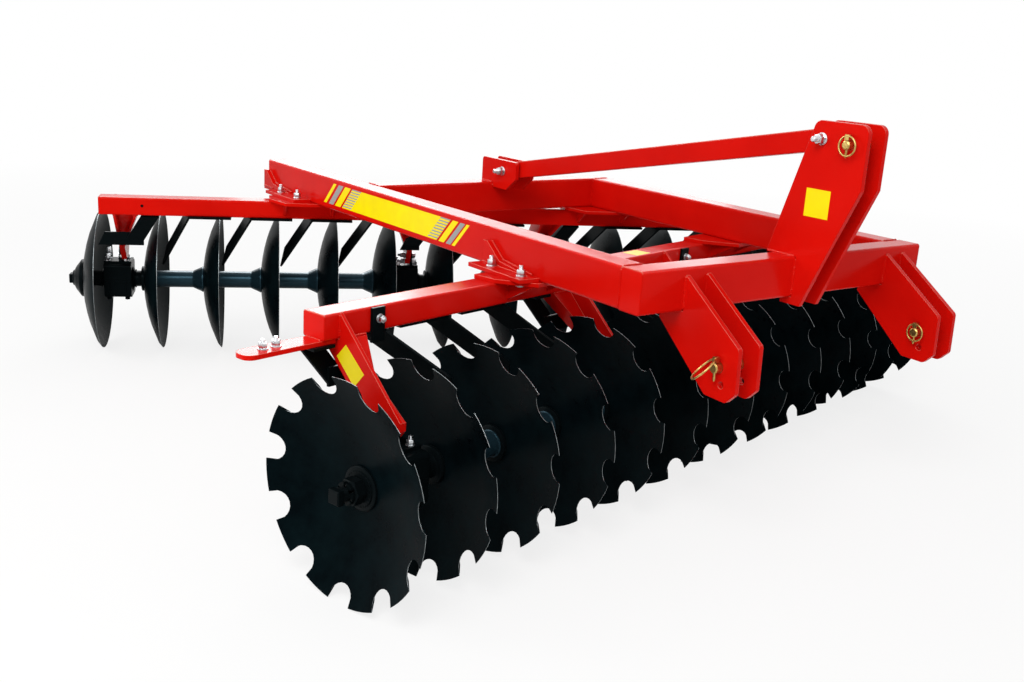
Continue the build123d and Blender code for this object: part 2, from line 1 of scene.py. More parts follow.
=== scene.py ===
# %% [markdown]
# # A mounted disc harrow
# A disc harrow cuts and turns soil with rows of steel dishes that roll along at a slant.
# This machine has two rows, each of two gangs, under a red frame that a tractor lifts by three
# points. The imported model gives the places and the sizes; here the machine gets its finishes,
# its smooth dishes and castings, and the bolts, welds and stickers that a plain model leaves out.

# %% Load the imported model
import json
import math
import random

import bmesh
import bpy
from mathutils import Matrix, Vector


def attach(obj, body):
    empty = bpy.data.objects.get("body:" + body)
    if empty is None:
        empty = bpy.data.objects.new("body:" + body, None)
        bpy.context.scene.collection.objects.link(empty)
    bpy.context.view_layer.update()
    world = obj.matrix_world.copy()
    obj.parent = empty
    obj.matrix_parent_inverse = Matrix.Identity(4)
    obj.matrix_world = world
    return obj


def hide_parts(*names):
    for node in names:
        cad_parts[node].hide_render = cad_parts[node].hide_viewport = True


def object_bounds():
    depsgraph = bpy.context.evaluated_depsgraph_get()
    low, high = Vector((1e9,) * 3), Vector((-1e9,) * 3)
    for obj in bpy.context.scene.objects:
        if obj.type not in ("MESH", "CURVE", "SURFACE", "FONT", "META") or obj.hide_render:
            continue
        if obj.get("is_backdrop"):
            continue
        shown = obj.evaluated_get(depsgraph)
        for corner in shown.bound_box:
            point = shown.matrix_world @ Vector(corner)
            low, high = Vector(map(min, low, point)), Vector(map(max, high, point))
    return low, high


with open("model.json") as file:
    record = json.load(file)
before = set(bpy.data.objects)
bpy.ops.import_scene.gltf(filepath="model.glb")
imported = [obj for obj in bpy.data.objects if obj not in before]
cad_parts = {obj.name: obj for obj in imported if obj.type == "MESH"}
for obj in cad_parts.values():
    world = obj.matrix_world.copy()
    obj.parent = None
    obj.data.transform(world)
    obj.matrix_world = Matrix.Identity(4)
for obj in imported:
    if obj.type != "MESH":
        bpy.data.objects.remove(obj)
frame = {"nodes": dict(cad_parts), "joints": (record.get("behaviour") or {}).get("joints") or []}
cad_low, cad_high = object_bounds()

# %% [markdown]
# Everything below is built in millimetres, as a workshop drawing is, and turned to metres once,
# when a piece is finished. Each row of discs has axes of its own: X runs along the axle, Y runs
# level towards the gang beam and Z is up. A hinge of the model gives the axle's line, and the
# first disc gives the place where the row starts.

# %% Axes of the two rows
MM = 0.001
UP = Vector((0, 0, 1))


def row_axes(row):
    """Matrix from a row's own axes to the machine's, in metres, with its origin on the ground."""
    hinge = next(j for j in frame["joints"] if j["name"].startswith(f"gang_{row}"))
    along = Vector(hinge["axis"]).normalized()
    across = UP.cross(along)
    axes = Matrix((along, across, UP)).transposed().to_4x4()
    middle = Vector(hinge["pos_m"])
    first = min(
        along.dot(v.co - middle)
        for n, o in frame["nodes"].items() if n.startswith(f"discs_{row}")
        for v in o.data.vertices
    )
    start = middle + along * first
    return Matrix.Translation((start.x, start.y, 0)) @ axes


ROW_AXES = {row: row_axes(row) for row in ("front", "rear")}
for row, axes in ROW_AXES.items():
    print(row, "row starts at", [round(v, 3) for v in axes.translation])


# %% [markdown]
# A node can hold several solids, such as the discs of one gang. This finds them again, so that
# the pieces made here take their places from the model.

# %% Find the solids of a node
def solids(node, row=None):
    """Lowest and highest corner of each separate solid, in mm, in the row's axes, in order."""
    to_row = ROW_AXES[row].inverted() if row else Matrix.Identity(4)
    bm = bmesh.new()
    bm.from_mesh(frame["nodes"][node].data)
    bm.transform(to_row)
    bmesh.ops.remove_doubles(bm, verts=bm.verts, dist=0.02 * MM)
    left, found = set(bm.verts), []
    while left:
        group, edge_of = [], [left.pop()]
        while edge_of:
            vert = edge_of.pop()
            group.append(vert.co.copy())
            for edge in vert.link_edges:
                other = edge.other_vert(vert)
                if other in left:
                    left.remove(other)
                    edge_of.append(other)
        low = Vector([min(p[i] for p in group) for i in range(3)]) / MM
        high = Vector([max(p[i] for p in group) for i in range(3)]) / MM
        found.append((low, high))
    bm.free()
    return sorted(found, key=lambda box: box[0].x)


def box_of(node, row=None):
    """Lowest and highest corner of a node that is a single solid."""
    (box,) = solids(node, row)
    return box


GANGS = [(row, side) for row in ("front", "rear") for side in ("right", "left")]
DISC_BOXES = {(row, side): solids(f"discs_{row}_{side}", row) for row, side in GANGS}
for gang, boxes in DISC_BOXES.items():
    print(gang, "discs at", [round(low.x) for low, high in boxes])


# %% [markdown]
# ## Finishes
# Colours are written as hex values, the way a paint maker lists them, and turned into the
# linear numbers that light is reckoned in. One helper adds every shader node.

# %% Colour and node helpers
def linear(colour, alpha=1.0):
    """An sRGB hex colour as linear red, green, blue and alpha."""
    parts = [int(colour[i:i + 2], 16) / 255 for i in (0, 2, 4)]
    shades = [p / 12.92 if p <= 0.04045 else ((p + 0.055) / 1.055) ** 2.4 for p in parts]
    return (*shades, alpha)


def add_node(tree, kind, inputs=None, **settings):
    """Adds one shader node; an input that is a socket is linked and any other is set."""
    made = tree.nodes.new(kind)
    for name, value in settings.items():
        setattr(made, name, value)
    for name, value in (inputs or {}).items():
        if isinstance(value, bpy.types.NodeSocket):
            tree.links.new(value, made.inputs[name])
        else:
            made.inputs[name].default_value = value
    return made


def new_finish(name):
    """An empty material and its node tree."""
    made = bpy.data.materials.new(name)
    made.use_nodes = True
    made.node_tree.nodes.clear()
    return made, made.node_tree


def per_metre(millimetres):
    """Noise scale that gives features of this real size."""
    return 1 / (millimetres * MM)


# %% [markdown]
# ### Red enamel
# The frame is welded steel, blasted, primed and sprayed with two-pack enamel. Enamel is a
# saturated colour under a clear, hard gloss: seen edge-on its skin mirrors the sky and bleaches
# the red, which is why the level faces look pale. The spray leaves a slight orange peel, drawn
# here at 9 mm, coarser than the real 2 mm, so that it shows at this distance. The Bevel node
# rounds corners in the shading alone: 2.6 mm on a cut plate, and 7 mm on a rolled box tube.
# Where its normal turns away from the face's own and looks up, the colour is mixed towards a pale
# pink. This is a painted highlight of the sky on the rounded corner, and it draws a fine line along
# the upper corners and welds.

# %% Red enamel
def red_enamel(name, corner):
    """Red gloss paint on steel whose corners are rounded by this radius, in mm."""
    made, tree = new_finish(name)
    place = add_node(tree, "ShaderNodeTexCoord").outputs["Object"]
    drift = add_node(tree, "ShaderNodeTexNoise", {
        "Vector": place, "Scale": per_metre(420), "Detail": 3.0, "Roughness": 0.6})
    tone = add_node(tree, "ShaderNodeValToRGB", {"Fac": drift.outputs["Fac"]})
    tone.color_ramp.elements[0].position = 0.32
    tone.color_ramp.elements[0].color = linear("CC0E07")
    tone.color_ramp.elements[1].position = 0.68
    tone.color_ramp.elements[1].color = linear("DC130A")
    dust = add_node(tree, "ShaderNodeTexNoise", {
        "Vector": place, "Scale": per_metre(38), "Detail": 8.0, "Roughness": 0.7})
    film = add_node(tree, "ShaderNodeMapRange", {
        "Value": dust.outputs["Fac"], "From Min": 0.55, "From Max": 0.85, "To Max": 0.05})
    colour = add_node(tree, "ShaderNodeMix", {
        "Factor": film.outputs["Result"], "A": tone.outputs["Color"], "B": linear("D8503F")},
        data_type="RGBA")
    gloss = add_node(tree, "ShaderNodeMapRange", {
        "Value": dust.outputs["Fac"], "From Min": 0.3, "From Max": 0.8,
        "To Min": 0.14, "To Max": 0.26})
    rounding = add_node(tree, "ShaderNodeBevel", {"Radius": corner * MM}, samples=6)
    peel = add_node(tree, "ShaderNodeTexNoise", {
        "Vector": place, "Scale": per_metre(9), "Detail": 2.0})
    skin = add_node(tree, "ShaderNodeBump", {
        "Strength": 0.15, "Distance": 0.1 * MM, "Height": peel.outputs["Fac"],
        "Normal": rounding.outputs["Normal"]})
    # Painted highlight: rounded corners that look up are lightened towards pale pink, where the sky
    # would shine on them.
    flat = add_node(tree, "ShaderNodeNewGeometry").outputs["Normal"]
    turned = add_node(tree, "ShaderNodeVectorMath", {
        0: rounding.outputs["Normal"], 1: flat}, operation="DOT_PRODUCT")
    corners = add_node(tree, "ShaderNodeMapRange", {
        "Value": turned.outputs["Value"], "From Min": 0.985, "From Max": 0.86})
    way = add_node(tree, "ShaderNodeSeparateXYZ", {"Vector": rounding.outputs["Normal"]})
    upward = add_node(tree, "ShaderNodeMapRange", {
        "Value": way.outputs["Z"], "From Min": 0.1, "From Max": 0.45, "To Max": 0.75})
    lit = add_node(tree, "ShaderNodeMath", {
        0: corners.outputs["Result"], 1: upward.outputs["Result"]}, operation="MULTIPLY")
    painted_corner_highlight = add_node(tree, "ShaderNodeMix", {
        "Factor": lit.outputs["Value"], "A": colour.outputs["Result"],
        "B": linear("F59A88")}, data_type="RGBA")
    shader = add_node(tree, "ShaderNodeBsdfPrincipled", {
        "Base Color": painted_corner_highlight.outputs["Result"], "Roughness": gloss.outputs["Result"],
        "Normal": skin.outputs["Normal"], "IOR": 1.23,
        "Specular Tint": linear("D86A55")})
    add_node(tree, "ShaderNodeOutputMaterial", {"Surface": shader.outputs["BSDF"]})
    return made


RED = red_enamel("red_enamel_on_plate", 2.6)
TUBE_RED = red_enamel("red_enamel_on_tube", 7.0)


# %% [markdown]
# ### Black disc paint
# The dishes are hot-pressed boron steel, dipped in black paint with a green-blue cast. Pressing
# leaves faint rings round the middle, and handling leaves dull patches in the gloss. The rings
# are a noise of the distance from the axle, which is each disc's own X axis.

# %% Black disc paint
def disc_paint():
    """Black paint with rings round the X axis of the disc that wears it."""
    made, tree = new_finish("dipped_black_paint")
    place = add_node(tree, "ShaderNodeTexCoord").outputs["Object"]
    flat = add_node(tree, "ShaderNodeVectorMath", {0: place, 1: (0, 1, 1)}, operation="MULTIPLY")
    radius = add_node(tree, "ShaderNodeVectorMath", {0: flat.outputs["Vector"]},
                      operation="LENGTH")
    rings = add_node(tree, "ShaderNodeTexNoise", {
        "W": radius.outputs["Value"], "Scale": per_metre(7), "Detail": 4.0},
        noise_dimensions="1D")
    patches = add_node(tree, "ShaderNodeTexNoise", {
        "Vector": place, "Scale": per_metre(90), "Detail": 6.0, "Roughness": 0.65})
    tone = add_node(tree, "ShaderNodeValToRGB", {"Fac": patches.outputs["Fac"]})
    tone.color_ramp.elements[0].position = 0.35
    tone.color_ramp.elements[0].color = linear("03070A")
    tone.color_ramp.elements[1].position = 0.75
    tone.color_ramp.elements[1].color = linear("081417")
    gloss = add_node(tree, "ShaderNodeMapRange", {
        "Value": patches.outputs["Fac"], "From Min": 0.3, "From Max": 0.75,
        "To Min": 0.24, "To Max": 0.4})
    relief = add_node(tree, "ShaderNodeMath", {
        0: rings.outputs["Fac"], 1: patches.outputs["Fac"]}, operation="ADD")
    skin = add_node(tree, "ShaderNodeBump", {
        "Strength": 0.35, "Distance": 0.2 * MM, "Height": relief.outputs["Value"]})
    shader = add_node(tree, "ShaderNodeBsdfPrincipled", {
        "Base Color": tone.outputs["Color"], "Roughness": gloss.outputs["Result"],
        "Normal": skin.outputs["Normal"], "IOR": 1.09,
        "Specular Tint": linear("6FB4B8")})
    add_node(tree, "ShaderNodeOutputMaterial", {"Surface": shader.outputs["BSDF"]})
    return made


# %% [markdown]
# ### Painted castings
# Bearing housings, journals and end washers are sand-cast iron in the same black, so the grain of
# the sand, about 2 mm, stands under the paint. It is drawn at 4 mm. The tubes between the discs are
# the same castings under a blue-black stoved enamel, which mirrors more of the sky. Their colour is
# also painted lighter and bluer than that enamel, as a painted sheen of the sky on their tops.

# %% Painted castings
def cast_paint(name, dark, light, index, tint):
    """Paint over sand-cast iron; the index and tint set how much it mirrors, and how blue."""
    made, tree = new_finish(name)
    place = add_node(tree, "ShaderNodeTexCoord").outputs["Object"]
    grain = add_node(tree, "ShaderNodeTexNoise", {
        "Vector": place, "Scale": per_metre(4), "Detail": 5.0, "Roughness": 0.6})
    tone = add_node(tree, "ShaderNodeValToRGB", {"Fac": grain.outputs["Fac"]})
    tone.color_ramp.elements[0].color = linear(dark)
    tone.color_ramp.elements[1].color = linear(light)
    rounding = add_node(tree, "ShaderNodeBevel", {"Radius": 2.5 * MM}, samples=4)
    skin = add_node(tree, "ShaderNodeBump", {
        "Strength": 0.3, "Distance": 0.3 * MM, "Height": grain.outputs["Fac"],
        "Normal": rounding.outputs["Normal"]})
    shader = add_node(tree, "ShaderNodeBsdfPrincipled", {
        "Base Color": tone.outputs["Color"], "Roughness": 0.28,
        "Normal": skin.outputs["Normal"], "IOR": index, "Specular Tint": linear(tint)})
    add_node(tree, "ShaderNodeOutputMaterial", {"Surface": shader.outputs["BSDF"]})
    return made


# %% [markdown]
# ### Plated fasteners
# Bolts and nuts are bright zinc over steel, and the hitch pins are yellow-passivated zinc. Both
# are metal, so the plating's colour tints what they mirror, and a cloudy noise in the
# roughness gives the frosted look of a plating bath. Bare ground steel, which the discs show
# on their rims, is made the same way with darker colours.

# %% Plated fasteners and ground steel
def plated(name, light, dark, roughness):
    """Metal with soft clouds, from this roughness up to 0.2 more."""
    made, tree = new_finish(name)
    place = add_node(tree, "ShaderNodeTexCoord").outputs["Object"]
    cloud = add_node(tree, "ShaderNodeTexNoise", {
        "Vector": place, "Scale": per_metre(11), "Detail": 4.0})
    tone = add_node(tree, "ShaderNodeValToRGB", {"Fac": cloud.outputs["Fac"]})
    tone.color_ramp.elements[0].position = 0.3
    tone.color_ramp.elements[0].color = linear(dark)
    tone.color_ramp.elements[1].position = 0.7
    tone.color_ramp.elements[1].color = linear(light)
    gloss = add_node(tree, "ShaderNodeMapRange", {
        "Value": cloud.outputs["Fac"], "To Min": roughness, "To Max": roughness + 0.2})
    rounding = add_node(tree, "ShaderNodeBevel", {"Radius": 0.8 * MM}, samples=4)
    shader = add_node(tree, "ShaderNodeBsdfPrincipled", {
        "Base Color": tone.outputs["Color"], "Metallic": 1.0,
        "Roughness": gloss.outputs["Result"], "Normal": rounding.outputs["Normal"]})
    add_node(tree, "ShaderNodeOutputMaterial", {"Surface": shader.outputs["BSDF"]})
    return made


DISC_BLACK = disc_paint()
CAST_BLACK = cast_paint("black_painted_cast_iron", "050708", "0B1214", 1.14, "8FA6AC")
# The spool tubes' blue-black is lifted lighter, as a painted sheen of the sky on their tops.
SPOOL_ENAMEL_AND_SHEEN = cast_paint("blue_black_enamel_and_painted_sheen", "0C171D", "1E333C", 1.55, "7FB4CC")
ZINC = plated("bright_zinc_plate", "E6E8EA", "B4B8BC", 0.22)
GROUND_STEEL = plated("ground_steel_edge", "A4AAAC", "6E7678", 0.3)
YELLOW_ZINC = plated("yellow_zinc_plate", "D9BC74", "A88A48", 0.24)

# %% [markdown]
# The nodes that keep their CAD shape take a finish by what they are: pins and bolts are plated, and
# the rest of the fixed frame is enamelled. The turning gangs get meshes of their own further on,
# and the bearing housings keep their block and get cast trim.

# %% Paint the CAD nodes
for node_name, node_object in frame["nodes"].items():
    if "pin" in node_name:
        finish = YELLOW_ZINC
    elif "bolt" in node_name:
        finish = ZINC
    elif node_name.startswith(("discs", "spools", "shaft", "bearing", "scrapers")):
        finish = CAST_BLACK
    else:
        finish = TUBE_RED if "beam" in node_name or node_name == "brace" else RED
    node_object.data.materials.clear()
    node_object.data.materials.append(finish)

# %% [markdown]
# ## Mesh tools
# A few small tools make everything round, square or bolted. A lathe turns a profile round the
# X axis, since every gang is a string of turned things on one axle.

# %% Mesh tools
SHARP = math.radians(38)


def lathe(bm, profile, place=Matrix.Identity(4), sides=48):
    """Turns (along, radius) points round X; a radius of nought closes the end."""
    rings = []
    for along, radius in profile:
        if radius == 0:
            rings.append([bm.verts.new(place @ Vector((along, 0, 0)))])
            continue
        ring = []
        for i in range(sides):
            angle = math.tau * i / sides
            point = Vector((along, radius * math.cos(angle), radius * math.sin(angle)))
            ring.append(bm.verts.new(place @ point))
        rings.append(ring)
    for one, two in zip(rings, rings[1:]):
        for i in range(sides):
            j = (i + 1) % sides
            corners = [one[i % len(one)], one[j % len(one)], two[j % len(two)], two[i % len(two)]]
            corners = list(dict.fromkeys(corners))
            if len(corners) > 2:
                bm.faces.new(corners)


def prism(bm, outline, bottom, top, place=Matrix.Identity(4), taper=1.0):
    """Raises an (x, y) outline from bottom to top; the top may be a little smaller."""
    low = [bm.verts.new(place @ Vector((x, y, bottom))) for x, y in outline]
    high = [bm.verts.new(place @ Vector((x * taper, y * taper, top))) for x, y in outline]
    bm.faces.new(list(reversed(low)))
    bm.faces.new(high)
    for i in range(len(outline)):
        j = (i + 1) % len(outline)
        bm.faces.new((low[i], low[j], high[j], high[i]))


def finish_piece(name, bm, finishes, body, place=Matrix.Identity(4), replaces=()):
    """Turns a mesh in mm into a piece in metres that rides on a body, and sharpens its edges."""
    bm.transform(Matrix.Scale(MM, 4))
    bmesh.ops.recalc_face_normals(bm, faces=bm.faces)
    for face in bm.faces:
        face.smooth = True
    for edge in bm.edges:
        edge.smooth = edge.is_manifold and edge.calc_face_angle(0) < SHARP
    mesh = bpy.data.meshes.new(name)
    bm.to_mesh(mesh)
    bm.free()
    for finish in finishes:
        mesh.materials.append(finish)
    piece = bpy.data.objects.new(name, mesh)
    bpy.context.scene.collection.objects.link(piece)
    piece.matrix_world = place
    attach(piece, body)
    if replaces:
        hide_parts(*replaces)


# %% [markdown]
# ## Discs
# Each dish is a slice of a ball with a flat middle, 6 mm thick and ground to an edge on its
# back. The front discs carry scallops that bite into stubble. The mesh is built straight from
# that description: columns run from the hub to the rim, and in a scallop the columns end on
# the arc of its cutter, so the cut is clean with few faces.

# %% Rim of a disc
SCALLOPS = 11
SCALLOP_R = 37.0
SCALLOP_CENTRE_R = 271.0
TOOTH_STEPS = 5
SCALLOP_STEPS = 12
PLAIN_STEPS = 120


def rim_points(rim_r, scalloped):
    """Polar (angle, radius) points round the rim of a disc, scallop by scallop."""
    if not scalloped:
        return [(math.tau * i / PLAIN_STEPS, rim_r) for i in range(PLAIN_STEPS)]
    reach = (rim_r**2 + SCALLOP_CENTRE_R**2 - SCALLOP_R**2) / (2 * rim_r * SCALLOP_CENTRE_R)
    half = math.acos(reach)  # half the angle that a scallop takes out of the rim
    corner = Vector((rim_r * math.cos(half) - SCALLOP_CENTRE_R, rim_r * math.sin(half)))
    swing = math.atan2(corner.y, corner.x)
    points = []
    for tooth in range(SCALLOPS):
        middle = math.tau * tooth / SCALLOPS
        for i in range(SCALLOP_STEPS + 1):
            turn = -swing - (math.tau - 2 * swing) * i / SCALLOP_STEPS
            x = SCALLOP_CENTRE_R + SCALLOP_R * math.cos(turn)
            y = SCALLOP_R * math.sin(turn)
            points.append((middle + math.atan2(y, x), math.hypot(x, y)))
        gap = math.tau / SCALLOPS - 2 * half
        for i in range(1, TOOTH_STEPS):
            points.append((middle + half + gap * i / TOOTH_STEPS, rim_r))
    return points


print("a scalloped rim has", len(rim_points(280.0, True)), "columns")

# %% [markdown]
# Rings of points join the columns from the bore outwards. Near the hub their points stand
# evenly, and towards the rim they swing over to the columns, so no face is badly skewed.

# %% Dish of a disc
BALL_R = 610.0
BORE_R = 28.0
HUB_R = 60.0
HUB_CREASE = 4.0
DISH_RINGS = (95.0, 130.0, 165.0, 200.0)
SCALLOP_MARGIN = 6.0
TOOTH_SHARE = 0.55  # where a ring crosses the teeth, between the last round ring and the rim
THICK = 6.0
EDGE_THICK = 1.6
BEVEL = 16.0


def dish_height(radius, rim_r):
    """How far the dish stands behind its rim at a radius."""
    rim_drop = math.sqrt(BALL_R**2 - rim_r**2)
    return math.sqrt(BALL_R**2 - max(radius, HUB_R)**2) - rim_drop


def disc_rings(rim, rim_r, scalloped):
    """Rings of polar (angle, radius) points, from the bore of a disc out to its rim."""
    count = len(rim)
    last = SCALLOP_CENTRE_R - SCALLOP_R - SCALLOP_MARGIN if scalloped else rim_r - BEVEL
    rings = []
    for radius in (BORE_R, HUB_R, HUB_R + HUB_CREASE, *DISH_RINGS, last):
        share = max(0.0, (radius - HUB_R) / (last - HUB_R))
        rings.append([
            (math.tau * i / count * (1 - share) + rim[i][0] * share, radius)
            for i in range(count)
        ])
    if scalloped:
        rings.append([(angle, last + (radius - last) * TOOTH_SHARE) for angle, radius in rim])
    return [*rings, rim]


def bridge(bm, one, two, finish=0):
    """Closes two rings of as many vertices with a band of faces."""
    for i in range(len(one)):
        j = (i + 1) % len(one)
        bm.faces.new((one[i], one[j], two[j], two[i])).material_index = finish


def disc_mesh(rim_r, scalloped):
    """One disc about the X axis, its rim at X = 0 and its hub behind it."""
    bm = bmesh.new()
    rim = rim_points(rim_r, scalloped)
    sides = []
    for back in (False, True):
        side = []
        for ring in disc_rings(rim, rim_r, scalloped):
            verts = []
            for angle, radius in ring:
                ground = max(0.0, (radius - rim_r + BEVEL) / BEVEL) if ring is not rim else 1.0
                depth = THICK - (THICK - EDGE_THICK) * ground if back else 0.0
                verts.append(bm.verts.new((
                    dish_height(radius, rim_r) + depth,
                    radius * math.cos(angle), radius * math.sin(angle))))
            side.append(verts)
        for one, two in zip(side, side[1:]):
            bridge(bm, one, two)
        sides.append(side)
    front, rear = sides
    bridge(bm, front[0], rear[0])
    bridge(bm, front[-1], rear[-1], finish=1)
    return bm


# %% [markdown]
# Every disc is placed on its solid of the model and turned about the axle, as if the gangs had
# just rolled to a stop. In a gang no two discs stand at the same turn.

# %% Discs of the four gangs
# How far each front disc has rolled, in degrees, from the right end of its gang.
FRONT_TURNS = {"right": (9, 28, 11, 27, 1, 29), "left": (6, 14, 24, 25, 9, 28, 1)}
dice = random.Random(7)
for row, side in GANGS:
    boxes = DISC_BOXES[row, side]
    rim_r = (boxes[0][1].z - boxes[0][0].z) / 2
    for number, (low, high) in enumerate(boxes, 1):
        middle = (low.z + high.z) / 2
        turn = dice.uniform(0, math.tau)
        if row == "front":
            turn = math.radians(FRONT_TURNS[side][number - 1])
        place = (ROW_AXES[row] @ Matrix.Translation(Vector((low.x, 0, middle)) * MM)
                 @ Matrix.Rotation(turn, 4, "X"))
        finish_piece(f"disc_{row}_{side}_{number}", disc_mesh(rim_r, row == "front"),
                     [DISC_BLACK, GROUND_STEEL], f"gang_{row}_{side}", place,
                     [f"discs_{row}_{side}"])
    print(row, side, "gang has", len(boxes), "discs of", round(2 * rim_r), "mm")

# %% [markdown]
# ## Spools
# Cast spools are threaded on the square shaft and hold the discs 230 mm apart. Most are a tube that
# flares out to back the disc; where a bearing holds the gang, the spool is a plain journal with two
# flanges and a pair of dust rings on each side of the housing. Journals and the flange at each
# tube's far end are left in plain black, and only the tubes have the blue enamel with its painted
# sheen.

# %% Spool profiles
low, high = DISC_BOXES["front", "right"][0]
AXLE_Z = (low.z + high.z) / 2
SEAT_R = 20
TUBE_R = 34
JOURNAL_R = 32
DUST_RING_R = 36.5
FLANGE = 12
HOUSING_IN = 47  # faces of the housing, from the start of its spool
HOUSING_OUT = 151


def end_flange(flange_r):
    """Profile of the flange that starts a spool."""
    return [(0, SEAT_R), (0, flange_r - 1.5), (1.5, flange_r), (FLANGE - 1.5, flange_r),
            (FLANGE, flange_r - 2)]


def mirrored(profile, long):
    """The same profile at the other end of a piece of this length."""
    return [(long - along, radius) for along, radius in reversed(profile)]


def plain_spool(long, flare_r, flange_r):
    """Profile of a tube, flared behind one disc and flanged before the next."""
    return [
        (0, SEAT_R), (0, flare_r - 2), (1.5, flare_r), (6, flare_r), (8.5, flare_r - 2.2),
        (37, TUBE_R + 3), (41, TUBE_R + 0.8), (46, TUBE_R), (long - 18, TUBE_R),
        (long - 14, TUBE_R + 1), (long - FLANGE, TUBE_R + 4),
        *mirrored(end_flange(flange_r), long),
    ]


def journal_spool(long, flange_r):
    """Profile of a journal with a flange at both ends and two pairs of dust rings."""
    end = [*end_flange(flange_r), (FLANGE, JOURNAL_R + 5), (FLANGE + 1, JOURNAL_R + 1.5),
           (FLANGE + 4, JOURNAL_R)]
    rings = []
    for first in (HOUSING_IN - 14, HOUSING_OUT + 4):
        for start, wide in ((first, 5), (first + 6, 4)):
            rings += [(start, JOURNAL_R), (start + 0.8, DUST_RING_R),
                      (start + wide - 1, DUST_RING_R), (start + wide, JOURNAL_R)]
    return [*end, *rings, *mirrored(end, long)]


print("axle", round(AXLE_Z), "mm above the ground")

# %% Spools of the four gangs
for row, side in GANGS:
    spools_bm = bmesh.new()
    boxes = solids(f"spools_{row}_{side}", row)
    flange_r = boxes[0][1].y
    for low, high in boxes:
        long = high.x - low.x
        journal = high.y < flange_r + 1
        profile = (journal_spool(long, flange_r) if journal
                   else plain_spool(long, high.y, flange_r))
        done = len(spools_bm.faces)
        lathe(spools_bm, profile, Matrix.Translation((low.x, 0, AXLE_Z)), 64)
        for face in list(spools_bm.faces)[done:]:
            at_flange = face.calc_center_median().x > high.x - FLANGE - 0.5
            face.material_index = int(journal or at_flange)
    finish_piece(f"cast_spools_{row}_{side}", spools_bm, [SPOOL_ENAMEL_AND_SHEEN, CAST_BLACK],
                 f"gang_{row}_{side}", ROW_AXES[row], [f"spools_{row}_{side}"])
    print(row, side, "gang has", len(boxes), "spools, flanges", round(2 * flange_r), "mm")

# %% [markdown]
# ## Shaft ends
# The square shaft is drawn tight by one big nut. Its crown is slotted for a split pin, and it
# bears on a toothed washer in front of the first disc; at the other end a domed bell, cast with
# a nose, holds the last disc. Both turn with their gang.

# %% Nut end and bell end
SQUARE_R = 36 / 2 * math.sqrt(2)  # a 36 mm square bar, out to its corners
THREAD_R = 18
NUT_START, NUT_END = 45, 76  # from the tip of the shaft
WASHER_END = 88
CROWN_SLOTS = 6
TEETH = 28
BELL_LONG = 59
EIGHTH = Matrix.Rotation(math.tau / 8, 4, "X")
Z_TO_X = Matrix.Rotation(math.tau / 4, 4, "Y")  # turns Z to X, and X down
X_TO_Z = Matrix.Rotation(-math.tau / 4, 4, "Y")


def nut_end(bm, place):
    """Chamfered square, thread, crown nut and toothed washer, from the tip inwards."""
    lathe(bm, [(0, 0), (0, 21.5), (3, SQUARE_R), (17, SQUARE_R), (19, 20)], place @ EIGHTH, 4)
    thread = [(17 + i * 1.5, THREAD_R if i % 2 else THREAD_R - 1.2) for i in range(13)]
    lathe(bm, [(17, 0), *thread, (36, 0)], place, 32)
    lathe(bm, [(NUT_START, THREAD_R), (NUT_START, 31), (NUT_START + 2.5, 34.6),
               (NUT_END - 2.5, 34.6), (NUT_END, 31), (NUT_END, THREAD_R)], place, 6)
    for slot in range(CROWN_SLOTS):
        middle = math.tau * (slot + 0.5) / CROWN_SLOTS
        outline = [
            (r * math.cos(middle + a), r * math.sin(middle + a))
            for r, a in ((19, -0.38), (28, -0.38), (28.8, 0), (28, 0.38), (19, 0.38))
        ]
        prism(bm, outline, 34.5, NUT_START + 1, place @ Z_TO_X)
    lathe(bm, [(NUT_END, THREAD_R), (NUT_END, 44), (77, 45), (80, 45), (80, 52), (82, 55),
               (86.5, 55), (WASHER_END, 53.5), (WASHER_END, THREAD_R)], place, 64)
    for tooth in range(TEETH):
        turn = place @ Matrix.Rotation(math.tau * tooth / TEETH, 4, "X")
        outline = [(40.5, -1.8), (44.6, -1.8), (44.6, 1.8), (40.5, 1.8)]
        prism(bm, outline, -NUT_END - 1.5, -NUT_END, turn @ X_TO_Z, 0.98)


def bell_end(bm, place):
    """Domed washer with a nose and the tip of the shaft, from the disc outwards."""
    lathe(bm, [(0, 20), (0, 73.5), (1.5, 75), (9, 75), (12, 74), (17, 67), (24, 57), (29, 51),
               (33, 45), (38, 34), (41, 31), (43.5, 30), (45, 28), (45, 18)], place, 64)
    lathe(bm, [(44, SQUARE_R), (BELL_LONG - 3, SQUARE_R), (BELL_LONG, 22), (BELL_LONG, 0)],
          place @ EIGHTH, 4)


# %% Shafts of the four gangs
BAR_IN_WASHER, BAR_IN_BELL = 8, 9

for row, side in GANGS:
    shaft_bm = bmesh.new()
    low, high = box_of(f"shaft_{row}_{side}", row)
    nut_end(shaft_bm, Matrix.Translation((low.x, 0, AXLE_Z)))
    bell_end(shaft_bm, Matrix.Translation((high.x - BELL_LONG, 0, AXLE_Z)))
    start, end = low.x + WASHER_END - BAR_IN_WASHER, high.x - BELL_LONG + BAR_IN_BELL
    lathe(shaft_bm, [(start, 0), (start, SQUARE_R), (end, SQUARE_R), (end, 0)],
          Matrix.Translation((0, 0, AXLE_Z)) @ EIGHTH, 4)
    finish_piece(f"shaft_ends_{row}_{side}", shaft_bm, [CAST_BLACK], f"gang_{row}_{side}",
                 ROW_AXES[row], [f"shaft_{row}_{side}"])
    print(row, side, "shaft", round(high.x - low.x), "mm")

# %% [markdown]
# ## Bearing housings
# The housings keep their modelled block. What is added here is what a foundry and a fitter
# leave on it: a turned boss round the journal on both faces, the flange where the two halves
# meet, ribs on the cap, long cap screws and a grease nipple.

